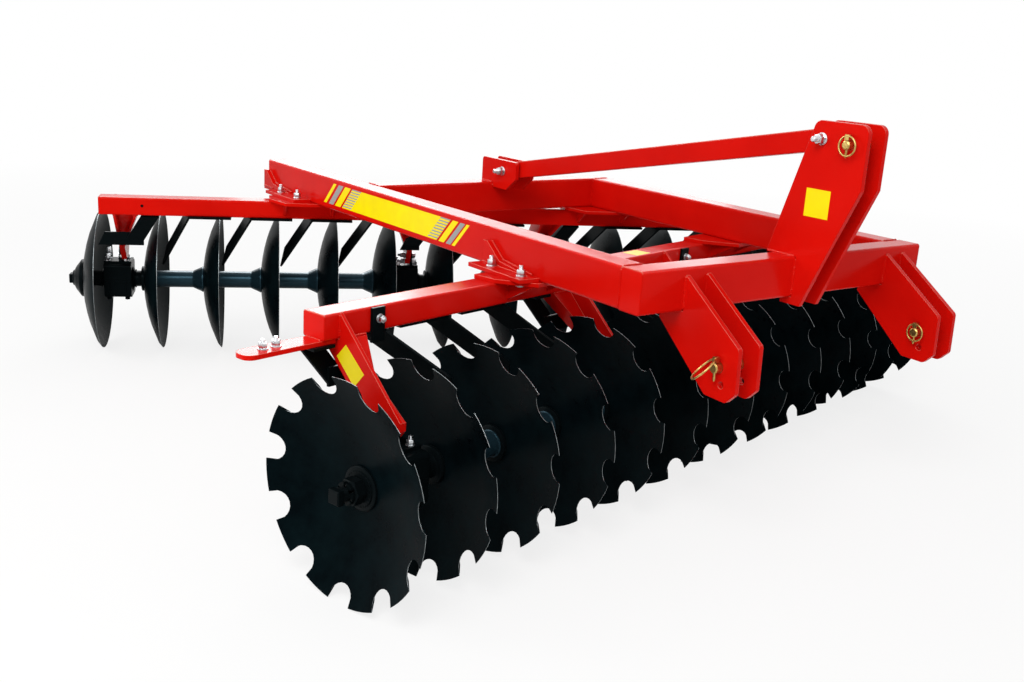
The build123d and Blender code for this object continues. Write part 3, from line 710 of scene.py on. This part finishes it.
# %% Bearing housings
NUMBERS = (1, 2, 3, 4)
BOSS = [(-1, 50), (1.5, 50), (4, 47), (4.5, 42), (6, 41), (6, 34), (2, 33), (-1, 33)]
CAP_SCREW = [(-1, 12), (0.8, 12), (0.8, 10.4), (9, 10.4), (10.5, 9), (10.5, 0)]
NIPPLE = [(-1, 5.5), (4, 5.5), (4, 3), (8, 2.6), (10, 3.4), (12, 3.2), (13, 0)]
HALF_FLANGE = 4.5
RIBS = (-30, 30)  # along the row, from the middle of a housing
RIB_FOOT = 16
SCREWS_ALONG = (-34, 34)
SCREWS_ACROSS = (-46, 46)
NIPPLE_UP = 38


def housing_box(row, number):
    """Middle of a housing along its row, and its lowest and highest corner."""
    low, high = box_of(f"bearing_{row}_{number}", row)
    return (low.x + high.x) / 2, low, high


def cast_lip(bm, span, inside, outside, draft, bottom, top):
    """A lip that stands out of a casting and gets narrower by its draft."""
    left, right = span
    outline = [(left, inside), (right, inside), (right - draft, outside),
               (left + draft, outside)]
    prism(bm, outline, bottom, top)


for row in ROW_AXES:
    trim_bm = bmesh.new()
    for number in NUMBERS:
        middle, low, high = housing_box(row, number)
        half = (high.x - low.x) / 2
        for turn in (0, math.pi):
            face = (Matrix.Translation((middle, 0, AXLE_Z)) @ Matrix.Rotation(turn, 4, "Z")
                    @ Matrix.Translation((half, 0, 0)))
            lathe(trim_bm, BOSS, face, 48)
        for across in (-1, 1):
            edge = across * high.y
            cast_lip(trim_bm, (low.x + 1.5, high.x - 1.5), edge - across * 4,
                     edge + across * 2.5, 1.5, AXLE_Z - HALF_FLANGE, AXLE_Z + HALF_FLANGE)
            for along in RIBS:
                cast_lip(trim_bm, (middle + along - 4, middle + along + 4), edge - across * 3,
                         edge + across * 2.2, 1, low.z + RIB_FOOT, AXLE_Z - HALF_FLANGE)
        for along in SCREWS_ALONG:
            for across in SCREWS_ACROSS:
                head = Matrix.Translation((middle + along, across, low.z)) @ Z_TO_X
                lathe(trim_bm, CAP_SCREW, head, 6)
        nipple = (Matrix.Translation((middle, low.y, AXLE_Z + NIPPLE_UP))
                  @ Matrix.Rotation(-math.tau / 4, 4, "Z"))
        lathe(trim_bm, NIPPLE, nipple, 16)
    finish_piece(f"housing_trim_{row}", trim_bm, [CAST_BLACK], "frame", ROW_AXES[row])
    print(row, "row has", len(NUMBERS), "housings")

# %% [markdown]
# ## Fasteners
# One tool draws a washer, a hexagon and, for a nut, the thread that stands out of it. `facing`
# turns its X axis to the way the bolt points. Each kind of fastener is one joined mesh a row,
# which keeps the scene light.

# %% Fastener tools
def facing(point, normal, turn=0.0):
    """Matrix with its origin on a point and X along a normal."""
    aim = Vector(normal).to_track_quat("X", "Z").to_matrix().to_4x4()
    return Matrix.Translation(point) @ aim @ Matrix.Rotation(turn, 4, "X")


def fastener(bm, place, across, thread=0.0):
    """Washer and hexagon on a face; with a thread it is a nut, without one a bolt head."""
    flat, high = across * 0.13, across * 0.86
    corner = across / math.sqrt(3)
    lathe(bm, [(-0.5, 0), (-0.5, across * 0.66), (flat - 0.5, across * 0.66),
               (flat, across * 0.63), (flat, 0)], place, 28)
    lathe(bm, [(flat, 0), (flat, corner * 0.9), (flat + across * 0.07, corner),
               (high - across * 0.09, corner), (high, corner * 0.86), (high, 0)], place, 6)
    if thread:
        steps = max(4, round(thread / 1.2))
        crests = [(high + thread * i / steps, across * (0.31 if i % 2 else 0.28))
                  for i in range(steps)]
        lathe(bm, [(high - 1, 0), *crests, (high + thread, across * 0.24), (high + thread, 0)],
              place, 20)


# %% [markdown]
# Each leg is bolted through the ear of its housing, and the housing's foot plate is held by four
# nuts. Both sets are bright zinc, as are the bolts of the scraper hooks and arms, and stand out
# against the black castings. The legs lean by turns one way and the other, and the bolts follow.

# %% Zinc fasteners of the rows
FOOT_TOP = 360
EAR_ACROSS = 7.5
FOOT_NUTS_ALONG = (-40.5, 30.0)  # from the middle of a housing, the way its leg leans
FOOT_NUTS_ACROSS = (EAR_ACROSS - 27, EAR_ACROSS + 27)
LEG_BACK = 17  # the leg's upright side, from the middle of its housing
EAR_OUTSIDE = 12
LEG_INSIDE = 20
EAR_BOLTS = ((398, EAR_ACROSS), (377, 34))  # height above the ground, place across the row
HOOK_BOLT = Vector((24, 185, 620))
HOOK_LEAST_TOP = 600  # only a scraper with a hook reaches higher
ARM_BOLTS_ALONG = (-45, -7)


def lean_of(number):
    """Which way along its row a leg slants: the odd ones one way, the even ones the other."""
    return 1 if number % 2 else -1


beam_low, beam_high = box_of("gang_beam_front", "front")
BEAM_MIDDLE = (beam_low.y + beam_high.y) / 2
for row in ROW_AXES:
    zinc_bm = bmesh.new()
    dice = random.Random(11)
    for number in NUMBERS:
        middle, low, high = housing_box(row, number)
        lean = lean_of(number)
        for along in FOOT_NUTS_ALONG:
            for across in FOOT_NUTS_ACROSS:
                spot = (middle + lean * along, across, FOOT_TOP)
                fastener(zinc_bm, facing(spot, UP, dice.uniform(0, 1)), 18, 9)
        plumb = middle - lean * LEG_BACK
        for height, across in EAR_BOLTS:
            outer = (plumb - lean * EAR_OUTSIDE, across, height)
            inner = (plumb + lean * LEG_INSIDE, across, height)
            fastener(zinc_bm, facing(outer, (-lean, 0, 0), dice.uniform(0, 1)), 19)
            fastener(zinc_bm, facing(inner, (lean, 0, 0), dice.uniform(0, 1)), 19, 10)
    for side in ("right", "left"):
        for low, high in solids(f"scrapers_{row}_{side}", row):
            if high.z > HOOK_LEAST_TOP:
                spot = (low.x + HOOK_BOLT.x, HOOK_BOLT.y, HOOK_BOLT.z)
                fastener(zinc_bm, facing(spot, (0, -1, 0), dice.uniform(0, 1)), 18, 5)
    for along in ARM_BOLTS_ALONG:
        spot = (along, BEAM_MIDDLE, beam_low.z)
        fastener(zinc_bm, facing(spot, UP, dice.uniform(0, 1)), 20, 8)
    finish_piece(f"zinc_fasteners_{row}", zinc_bm, [ZINC], "frame", ROW_AXES[row])
    print(row, "row bolted")

# %% [markdown]
# The scrapers hang under the gang beams from black bolts, two to a pad, whose heads show only from
# below. A thin black disc on the rear beam is painted shade that stands for a small hole.

# %% Black bolts under the scrapers
LOW_HEAD = [(-1, 0), (-1, 11), (0.8, 11), (2.6, 9), (4, 5.5), (4.6, 0)]
HOLE_SHADE_DISC = [(-1, 0), (-1, 5.5), (0.4, 5.5), (0.4, 0)]
HOLE_SHADE_ALONG = 2616
HOLE_SHADE_DOWN = 30
PAD = 8
HANGER_LEAST_FOOT = 400  # a blade reaches lower than this, and a bar on a hanger doesn't
PAD_BOLTS = ((28, 233), (128, 233))  # from the start of a scraper, place across the row
HANGER_BOLTS = ((33, 210), (33, 236))
HOOK_PAD_BOLTS = ((20, 214), (20, 240))

for row in ROW_AXES:
    black_bm = bmesh.new()
    count = 0
    for side in ("right", "left"):
        for low, high in solids(f"scrapers_{row}_{side}", row):
            underside = min(high.z, beam_low.z) - PAD
            bolts = PAD_BOLTS
            if low.z > HANGER_LEAST_FOOT:
                bolts = HANGER_BOLTS
            elif high.z > HOOK_LEAST_TOP:
                bolts = HOOK_PAD_BOLTS
            for along, across in bolts:
                spot = (low.x + along, across, underside)
                lathe(black_bm, LOW_HEAD, facing(spot, (0, 0, -1), low.x + along), 24)
                count += 1
    # Painted shade: a thin black disc marks the dark of a small hole in the rear beam.
    if row == "rear":
        spot = (HOLE_SHADE_ALONG, beam_high.y, beam_high.z - HOLE_SHADE_DOWN)
        lathe(black_bm, HOLE_SHADE_DISC, facing(spot, (0, 1, 0)), 20)
    finish_piece(f"scraper_bolts_{row}", black_bm, [CAST_BLACK], "frame", ROW_AXES[row])
    print(row, "row has", count, "scraper bolts")

# %% [markdown]
# ## Bolts of the main frame
# The gang beams are held to the side beams by two big nuts at each crossing, with their heads
# under the saddle. The brace is bolted at both ends, between the mast plates and the lugs.

# %% Frame bolts
COACH_HEAD = [(-14, 0), (-14, 8), (0, 8), (0, 17), (2, 17), (5, 14), (7.5, 9), (8.5, 0)]
CLAMPS = [f"clamp_{row}_{side}" for row in ROW_AXES for side in ("left", "right")]
CLAMP_PLATE = 12
CLAMP_OUT = 36  # middle of the plate, from the face of the side beam
CROSSING_BACK = 128  # middle of the crossing, from the front end of the plate
CLAMP_BOLTS = (-58, 88)
BRACE_SHANK_R = 12
BRACE_HEAD = 22

frame_bolts_bm = bmesh.new()
for name in CLAMPS:
    low, high = box_of(name)
    middle_x = low.x + CLAMP_OUT if "right" in name else high.x - CLAMP_OUT
    for along in CLAMP_BOLTS:
        spot = Vector((middle_x, high.y - CROSSING_BACK + along, low.z))
        fastener(frame_bolts_bm, facing(spot + CLAMP_PLATE * UP, UP, along), 22, 12)
        lathe(frame_bolts_bm, COACH_HEAD, facing(spot - CLAMP_PLATE * UP, -UP), 32)
for name in ("brace_bolt_front", "brace_bolt_rear"):
    low, high = box_of(name)
    at_y, at_z = (low.y + high.y) / 2, (low.z + high.z) / 2
    near, far = high.x - BRACE_HEAD, low.x + BRACE_HEAD
    lathe(frame_bolts_bm, [(far, 0), (far, BRACE_SHANK_R), (near, BRACE_SHANK_R), (near, 0)],
          Matrix.Translation((0, at_y, at_z)), 32)
    fastener(frame_bolts_bm, facing((near, at_y, at_z), (1, 0, 0), 0.3), 26, 18)
    fastener(frame_bolts_bm, facing((far, at_y, at_z), (-1, 0, 0), 0.9), 26)
finish_piece("frame_bolts", frame_bolts_bm, [ZINC], "frame",
             replaces=["brace_bolt_front", "brace_bolt_rear"])
print(len(CLAMPS), "clamps bolted")

# %% [markdown]
# ## Hitch pins
# Each hitch pin is turned, with a chamfer at both ends and a collar against the far plate. A
# linch pin drops through a hole near its end: a short shank with a block for a head, on which a
# sprung ring swings. Two rings lie flat against the plates and one hangs out.

# %% Hitch pins
def torus(bm, place, ring_r, wire_r, sides=56, wire_sides=12):
    """A ring of wire about the X axis of its place."""
    rings = []
    for i in range(sides):
        angle = math.tau * i / sides
        ring = []
        for j in range(wire_sides):
            turn = math.tau * j / wire_sides
            out = ring_r + wire_r * math.cos(turn)
            point = Vector((wire_r * math.sin(turn), out * math.cos(angle), out * math.sin(angle)))
            ring.append(bm.verts.new(place @ point))
        rings.append(ring)
    for i in range(sides):
        bridge(bm, rings[i], rings[(i + 1) % sides])


COLLAR = 8
LINCH_BACK = 9  # hole of the linch pin, from the tip of the hitch pin
LINCH_R = 3.8
LINCH_HALF_HEAD = 6.5
WIRE_R = 2.6
LINCH_PINS = (
    # pin, ring radius, way the ring hangs from its hinge, way its flat side faces
    ("top_link_pin", 26.0, (0.0, 0.12, -1.0), (1.0, 0.0, 0.0)),
    ("lower_link_pin_left", 25.0, (0.0, 0.1, -1.0), (1.0, 0.0, 0.0)),
    ("lower_link_pin_right", 39.0, (0.566, -0.424, -0.707), (0.41, -0.45, 0.59)),
)

for name, ring_r, hang, face in LINCH_PINS:
    pin_bm = bmesh.new()
    low, high = box_of(name)
    pin_r = (high.y - low.y) / 2
    at_y, at_z = (low.y + high.y) / 2, (low.z + high.z) / 2
    lathe(pin_bm, [
        (low.x, 0), (low.x, pin_r - 2), (low.x + 2, pin_r), (low.x + 10, pin_r),
        (low.x + 10, pin_r + COLLAR - 1), (low.x + 12, pin_r + COLLAR),
        (low.x + 20, pin_r + COLLAR), (low.x + 22, pin_r + COLLAR - 2), (low.x + 22, pin_r),
        (high.x - 3, pin_r), (high.x, pin_r - 3.5), (high.x, 0)],
        Matrix.Translation((0, at_y, at_z)), 48)
    linch_x, top = high.x - LINCH_BACK, at_z + pin_r
    shank = 2 * pin_r + 26
    lathe(pin_bm, [(0, 0), (0, LINCH_R), (shank - 4, LINCH_R), (shank, 2), (shank, 0)],
          facing((linch_x, at_y, top + 5), (0, 0, -1)), 20)
    half = LINCH_HALF_HEAD
    prism(pin_bm, [(-half, -half), (half, -half), (half, half), (-half, half)],
          top + 0.5, top + 15, Matrix.Translation((linch_x, at_y, 0)))
    hinge = Vector((linch_x + 4, at_y, top + 9))
    centre = hinge + Vector(hang).normalized() * (ring_r - 2)
    torus(pin_bm, facing(centre, Vector(face).normalized()), ring_r, WIRE_R)
    finish_piece(f"{name}_turned", pin_bm, [YELLOW_ZINC], "frame", replaces=[name])
    print(name, round(2 * pin_r), "mm thick, ring", round(2 * ring_r), "mm")

# %% [markdown]
# ## Welds
# Every joint of the frame is a fillet weld. A bead is a row of small overlapping ripples, each
# left where the welder paused, so its thickness rises and falls along the seam and is never
# quite even. It is painted over with the rest.

# %% Weld tool
WELD_SIDES = 8
RIPPLE = 6.5
weld_dice = random.Random(5)


def weld(bm, start, end, size=4.5):
    """A rippled bead from one point to another."""
    start, end = Vector(start), Vector(end)
    aim = (end - start).to_track_quat("Z", "Y").to_matrix().to_4x4()
    long = (end - start).length
    steps = max(2, round(long / RIPPLE))
    stations = [(0.0, 0.35)]
    for i in range(steps):
        swell = weld_dice.uniform(0.88, 1.08)
        stations += [((i + 0.25) * long / steps, swell), ((i + 0.95) * long / steps, 0.8 * swell)]
    stations.append((long, 0.35))
    rings = []
    for along, swell in stations:
        wobble = Vector((weld_dice.uniform(-0.4, 0.4), weld_dice.uniform(-0.4, 0.4), 0))
        ring = []
        for i in range(WELD_SIDES):
            angle = math.tau * i / WELD_SIDES
            point = Vector((size * swell * math.cos(angle), size * swell * math.sin(angle), along))
            ring.append(bm.verts.new(start + (aim @ (point + wobble))))
        rings.append(ring)
    bm.faces.new(list(reversed(rings[0])))
    bm.faces.new(rings[-1])
    for one, two in zip(rings, rings[1:]):
        bridge(bm, one, two)


# %% [markdown]
# The side beams butt against the crossbeams. A bead runs round each joint on the flat of the
# faces and stops short of the rounded corners of the tube.

# %% Welds between the beams
CORNER = 9  # where the flat of a beam's face starts
front_low, front_high = box_of("front_crossbeam")
rear_low, rear_high = box_of("rear_crossbeam")
right_low, right_high = box_of("side_beam_right")
left_low, left_high = box_of("side_beam_left")
JOINTS = (
    # both faces of a side beam, and the face of the crossbeam that it meets
    (right_low.x, right_high.x, front_low.y),
    (left_low.x, left_high.x, front_low.y),
    (left_low.x, left_high.x, rear_high.y),
)

weld_bm = bmesh.new()
under, over = right_low.z, right_high.z
for x0, x1, y in JOINTS:
    for x in (x0, x1):
        weld(weld_bm, (x, y, under + CORNER), (x, y, over - CORNER), 3.2)
    for z in (under, over):
        weld(weld_bm, (x0 + CORNER, y, z), (x1 - CORNER, y, z), 3.2)
x = right_low.x
for y in (rear_low.y, rear_high.y):
    weld(weld_bm, (x, y, under + CORNER), (x, y, over - CORNER))
for z in (under, over):
    weld(weld_bm, (x, rear_low.y + CORNER, z), (x, rear_high.y - CORNER, z), 3.2)

# %% Welds of the hitch plates and lugs
EDGE = 8  # where a bead stops before the rounded edge of a crossbeam

for name in ("mast_plate_left", "mast_plate_right"):
    low, high = box_of(name)
    for x in (low.x, high.x):
        y, edge_y = front_high.y, front_high.y - EDGE
        weld(weld_bm, (x, low.y + 3, front_high.z), (x, edge_y, front_high.z))
        weld(weld_bm, (x, y, front_low.z + 6), (x, y, front_high.z - EDGE))
        weld(weld_bm, (x, y - 34, front_low.z), (x, edge_y, front_low.z))
for name in ("lower_bracket_left", "lower_bracket_right"):
    for low, high in solids(name):
        for x in (low.x, high.x):
            weld(weld_bm, (x, front_high.y, front_low.z + 6), (x, front_high.y, high.z - 3))
            weld(weld_bm, (x, front_low.y + 6, front_low.z), (x, edge_y, front_low.z))
for low, high in solids("brace_lugs"):
    for x in (low.x, high.x):
        weld(weld_bm, (x, low.y + 4, rear_high.z), (x, rear_high.y - EDGE, rear_high.z))
        weld(weld_bm, (x, rear_high.y, low.z + 3), (x, rear_high.y, rear_high.z - EDGE))
print("hitch and lugs welded")

# %% [markdown]
# Each clamp has a gusset that lies flat on the side beam, high at its rear end and low towards
# the front. It has a bead along its foot on the plate, and three on the beam: along its low
# tail, up its end and down its slope.

# %% Welds of the clamps
GUSSET_THICK = 20
SLOPE_TOP, SLOPE_FOOT, TAIL_END = 22, 82, 226  # along a gusset, from its high end

for name in CLAMPS:
    low, high = box_of(name)
    out = 1 if "right" in name else -1
    beam, end, base = (low.x if out > 0 else high.x), low.y, low.z + CLAMP_PLATE
    foot, skin = beam + out * GUSSET_THICK, beam + out * 3
    weld(weld_bm, (foot, end + 4, base), (foot, end + SLOPE_FOOT + 6, base), 4.0)
    weld(weld_bm, (beam + out * 4, end + SLOPE_FOOT, base + 18),
         (beam + out * 6, end + TAIL_END, base + 3))
    weld(weld_bm, (beam, end, base + 3), (beam, end, high.z - 4), 4.0)
    weld(weld_bm, (skin, end + SLOPE_TOP, high.z - 2), (skin, end + SLOPE_FOOT - 2, base + 20), 3.5)
finish_piece("frame_welds", weld_bm, [RED], "frame")
print(len(CLAMPS), "clamps welded")

# %% [markdown]
# The legs, the scraper arm and the saddles are welded to each gang beam. A saddle's long seam is
# broken where its two ribs stand, and a bead runs up both sides of each rib.

# %% Welds of the gang beams
LEG_FACE = 74  # welded face of a leg, from its back
LEG_TOP = 66  # height of a leg that lies against the beam
LEG_PLATE = 10
SADDLE_RIBS = (-90, 90)
BEADS = ((-146, -94), (-86, 86), (94, 146))
beam_half = (beam_high.y - beam_low.y) / 2

for row, front_way in (("front", -1), ("rear", 1)):
    weld_bm = bmesh.new()
    for number in NUMBERS:
        low, high = box_of(f"leg_{row}_{number}", row)
        lean = lean_of(number)
        plumb, slant = (low.x, high.x) if lean > 0 else (high.x, low.x)
        edge = plumb + lean * LEG_PLATE
        face, back = high.y - LEG_FACE, high.y - 4
        under, over = high.z - LEG_TOP, high.z - 6
        weld(weld_bm, (plumb, face, under + 6), (plumb, face, over), 4.0)
        weld(weld_bm, (edge, face, under + 2), (edge, face, over), 4.0)
        weld(weld_bm, (plumb, face + 6, under), (plumb, back, under), 4.0)
        weld(weld_bm, (slant, face + 4, under), (slant, back, under), 4.0)
        weld(weld_bm, (edge, face, under), (slant - lean * 2, face, under), 4.0)
    arm_low, arm_high = box_of(f"scraper_arm_{row}", row)
    top, end = arm_high.z, beam_low.x
    weld(weld_bm, (end, arm_low.y + 4, top), (end, arm_high.y - 4, top), 4.5)
    for across in (arm_low.y, arm_high.y):
        weld(weld_bm, (end + 4, across, top), (arm_high.x - 2, across, top), 3.5)
    for side in ("left", "right"):
        low, high = box_of(f"saddle_{row}_{side}", row)
        crossing = (low.x + high.x) / 2
        front = BEAM_MIDDLE + front_way * beam_half
        for start, end in BEADS:
            weld(weld_bm, (crossing + start, front, beam_high.z),
                 (crossing + end, front, beam_high.z), 4.0)
        for rib in SADDLE_RIBS:
            for x in (crossing + rib - 5, crossing + rib + 5):
                weld(weld_bm, (x, front, low.z + 5), (x, front, beam_high.z - 3), 3.5)
    finish_piece(f"gang_beam_welds_{row}", weld_bm, [RED], "frame", ROW_AXES[row])
    print(row, "gang beam welded")

# %% [markdown]
# ## Stickers
# The side beam carries a band of printed vinyl: slanting stripes in yellow and grey, a hatched
# patch and a long yellow panel, then the same again the other way round. The panel, and the
# small labels on the mast, a front leg and the front gang beam, are left blank.

# %% Printed vinyl
def vinyl(name, colour, faded):
    """Printed vinyl: flat ink under a smooth clear film, faded a little in clouds."""
    made, tree = new_finish(name)
    place = add_node(tree, "ShaderNodeTexCoord").outputs["Object"]
    cloud = add_node(tree, "ShaderNodeTexNoise", {
        "Vector": place, "Scale": per_metre(60), "Detail": 3.0})
    tone = add_node(tree, "ShaderNodeValToRGB", {"Fac": cloud.outputs["Fac"]})
    tone.color_ramp.elements[0].position = 0.3
    tone.color_ramp.elements[0].color = linear(colour)
    tone.color_ramp.elements[1].position = 0.75
    tone.color_ramp.elements[1].color = linear(faded)
    shader = add_node(tree, "ShaderNodeBsdfPrincipled", {
        "Base Color": tone.outputs["Color"], "Roughness": 0.25, "IOR": 1.25})
    add_node(tree, "ShaderNodeOutputMaterial", {"Surface": shader.outputs["BSDF"]})
    return made


YELLOW_VINYL = vinyl("yellow_printed_vinyl", "FDE800", "F6DE10")
GREY_VINYL = vinyl("grey_printed_vinyl", "A3A3A0", "989896")

# %% Band on the side beam
Y_TO_X = Matrix(((0, 0, 1, 0), (1, 0, 0, 0), (0, 1, 0, 0), (0, 0, 0, 1)))
SUNK = 0.4  # how deep a sticker reaches under the paint, so that no gap shows
BAND_PROUD = 0.5
BAND_START = -470
BAND_LOW, BAND_HIGH = 683, 761
STRIPES = (
    # distance from the start of the band, width, yellow or grey
    (0, 21, "yellow"), (40, 35, "grey"), (89, 42, "yellow"), (210, 520, "yellow"),
    (799, 31, "yellow"), (842, 26, "grey"), (876, 17, "yellow"),
)
PATCHES = ((144, 66), (730, 57))  # distance from the start of the band, width
HATCHES = 8
RISE = (BAND_HIGH - BAND_LOW) / (2 * HATCHES)
sticker_bms = {"yellow": bmesh.new(), "grey": bmesh.new()}


def slanted(ink, away, width, bottom, top):
    """One slice of the slanted band on the outer face of the right side beam."""
    near = BAND_START + away + bottom - BAND_LOW
    far = near + top - bottom
    outline = [(near, bottom), (near + width, bottom), (far + width, top), (far, top)]
    prism(sticker_bms[ink], outline, right_high.x - SUNK, right_high.x + BAND_PROUD, Y_TO_X)


for away, width, ink in STRIPES:
    slanted(ink, away, width, BAND_LOW, BAND_HIGH)
for away, width in PATCHES:
    for hatch in range(2 * HATCHES):
        bottom = BAND_LOW + hatch * RISE
        slanted("grey" if hatch % 2 else "yellow", away, width, bottom, bottom + RISE)
print(len(STRIPES), "stripes and", len(PATCHES), "patches on the side beam")

# %% Labels
LABEL_PROUD = 0.4
MAST_LABEL = [(1280, 895), (1361, 895), (1361, 972), (1280, 972)]  # machine's Y and Z
LEG_LABEL = [(168, 576), (201, 540), (135, 476), (100, 516)]  # across its row, and Z
BEAM_LABEL = [(1425, 202), (1502, 202), (1502, 260), (1425, 260)]  # along and across its row

low, high = box_of("mast_plate_right")
prism(sticker_bms["yellow"], MAST_LABEL, high.x - SUNK, high.x + LABEL_PROUD, Y_TO_X)
finish_piece("yellow_stickers", sticker_bms["yellow"], [YELLOW_VINYL], "frame")
finish_piece("grey_stickers", sticker_bms["grey"], [GREY_VINYL], "frame")

row_bm = bmesh.new()
low, high = box_of("leg_front_1", "front")
prism(row_bm, LEG_LABEL, low.x - BAND_PROUD, low.x + SUNK, Y_TO_X)
prism(row_bm, BEAM_LABEL, beam_high.z - 0.5, beam_high.z + LABEL_PROUD)
finish_piece("row_stickers", row_bm, [YELLOW_VINYL], "frame", ROW_AXES["front"])
print("3 labels")

# %% [markdown]
# ## Floor, light and camera
# A pale floor keeps the machine's shadow. It glows as white as the world where the camera sees
# it, more so further out, so that it fades into the background without an edge.

# %% Floor
def pale_floor():
    """Matt floor to everything but the camera, which sees it turn white with distance."""
    made, tree = new_finish("pale_studio_floor")
    cloth = add_node(tree, "ShaderNodeBsdfDiffuse", {"Color": linear("F4F4F3")})
    glow = add_node(tree, "ShaderNodeEmission", {"Color": linear("FFFFFF"), "Strength": 1.0})
    place = add_node(tree, "ShaderNodeTexCoord").outputs["Object"]
    away = add_node(tree, "ShaderNodeVectorMath", {0: place}, operation="LENGTH")
    fade = add_node(tree, "ShaderNodeMapRange", {
        "Value": away.outputs["Value"], "From Min": 2.0, "From Max": 7.0,
        "To Min": 0.8, "To Max": 1.0})
    seen = add_node(tree, "ShaderNodeLightPath")
    share = add_node(tree, "ShaderNodeMath", {
        0: seen.outputs["Is Camera Ray"], 1: fade.outputs["Result"]}, operation="MULTIPLY")
    both = add_node(tree, "ShaderNodeMixShader", {
        0: share.outputs["Value"], 1: cloth.outputs["BSDF"], 2: glow.outputs["Emission"]})
    add_node(tree, "ShaderNodeOutputMaterial", {"Surface": both.outputs["Shader"]})
    return made


floor_bm = bmesh.new()
bmesh.ops.create_grid(floor_bm, x_segments=1, y_segments=1, size=30)
floor_mesh = bpy.data.meshes.new("studio_floor")
floor_bm.to_mesh(floor_mesh)
floor_bm.free()
floor_mesh.materials.append(pale_floor())
floor = bpy.data.objects.new("studio_floor", floor_mesh)
floor.location.z = cad_low.z - 0.0005
bpy.context.scene.collection.objects.link(floor)
floor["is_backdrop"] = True

# %% [markdown]
# The world is white where the camera or a shiny surface sees it, and softer where it lights
# things. That keeps colours as they are painted and still gives the gloss something to mirror.

# %% World
world = bpy.data.worlds.new("studio")
bpy.context.scene.world = world
world.use_nodes = True
world.node_tree.nodes.clear()
rays = add_node(world.node_tree, "ShaderNodeLightPath")
shown = add_node(world.node_tree, "ShaderNodeMath", {
    0: rays.outputs["Is Camera Ray"], 1: rays.outputs["Is Glossy Ray"]}, operation="MAXIMUM")
either = add_node(world.node_tree, "ShaderNodeMath", {
    0: shown.outputs["Value"], 1: rays.outputs["Is Transmission Ray"]}, operation="MAXIMUM")
level = add_node(world.node_tree, "ShaderNodeMapRange", {
    "Value": either.outputs["Value"], "To Min": 0.55, "To Max": 1.0})
sky = add_node(world.node_tree, "ShaderNodeBackground", {
    "Color": linear("FFFFFF"), "Strength": level.outputs["Result"]})
add_node(world.node_tree, "ShaderNodeOutputWorld", {"Surface": sky.outputs["Background"]})
print("world lit")


# %% [markdown]
# Three large lamps light the machine: a key lamp over its front corner, a fill from its side and
# one from behind. Four more are seen in reflections alone. They stand where level faces and
# rounded corners mirror them towards the viewer, and so draw the sheen along the beams.

# %% Lamps
def soft_lamp(name, at, aim, size, power):
    """A wide area lamp that looks at a point and is not in the picture itself."""
    light = bpy.data.lights.new(name, "AREA")
    light.shape = "RECTANGLE"
    light.size, light.size_y = size
    light.energy = power
    lamp = bpy.data.objects.new(name, light)
    lamp.location = at
    lamp.rotation_euler = (Vector(aim) - Vector(at)).to_track_quat("-Z", "Y").to_euler()
    lamp.visible_camera = False
    bpy.context.scene.collection.objects.link(lamp)
    return lamp


MIDDLE = (cad_low + cad_high) / 2
soft_lamp("key_lamp", (3.5, 3.0, 4.2), MIDDLE, (2.5, 2.5), 150)
soft_lamp("fill_lamp", (5.0, -2.0, 2.5), MIDDLE, (2.5, 2.5), 60)
soft_lamp("back_lamp", (-3.5, -3.5, 4.0), MIDDLE, (3.0, 3.0), 70)
FRAME_MIDDLE = (-0.2, 0.2, 0.7)
REFLECTED = (
    # name, place, width and height, power
    ("side_beam_sheen", (-3.3, -4.95, 2.0), (4.5, 2.2), 52),
    ("gang_beam_sheen", (-1.4, -6.3, 3.5), (3.8, 2.2), 150),
    ("front_edge_glint", (-2.8, 3.3, 4.2), (1.6, 1.6), 70),
    ("side_edge_glint", (0.0, -4.6, 4.4), (2.6, 1.4), 130),
)
for name, at, size, power in REFLECTED:
    sheen = soft_lamp(name, at, FRAME_MIDDLE, size, power)
    sheen.visible_diffuse = False
print("3 lamps and", len(REFLECTED), "reflected ones")

# %% [markdown]
# The camera stands at the front right corner, about chest high, and looks slightly down. Its
# turn is given as a compass angle, a dip and a roll, from which the three axes follow.

# %% Camera
CAMERA_AT = (2.4584, 3.2359, 1.3311)
YAW, PITCH, ROLL = (math.radians(a) for a in (-143.181, 15.614, -3.554))
ahead = Vector((math.sin(YAW) * math.cos(PITCH), math.cos(YAW) * math.cos(PITCH),
                -math.sin(PITCH)))
level_right = Vector((math.cos(YAW), -math.sin(YAW), 0))
level_down = ahead.cross(level_right)
right = math.cos(ROLL) * level_right + math.sin(ROLL) * level_down
down = -math.sin(ROLL) * level_right + math.cos(ROLL) * level_down
lens = bpy.data.cameras.new("camera")
lens.lens = 38.78
lens.sensor_width = 36.0
camera = bpy.data.objects.new("camera", lens)
axes = Matrix((right, -down, -ahead)).transposed().to_4x4()
camera.matrix_world = Matrix.Translation(CAMERA_AT) @ axes
bpy.context.scene.collection.objects.link(camera)
bpy.context.scene.camera = camera
bpy.context.scene.view_settings.view_transform = "Standard"
print("camera", round(Vector(CAMERA_AT).length, 2), "m from the middle of the ground")

# %% [markdown]
# The last step prints the box of the bare model and of the dressed one.

# %% Finish
bpy.context.view_layer.update()
low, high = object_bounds()
print("cad", cad_high - cad_low, "dressed", high - low)
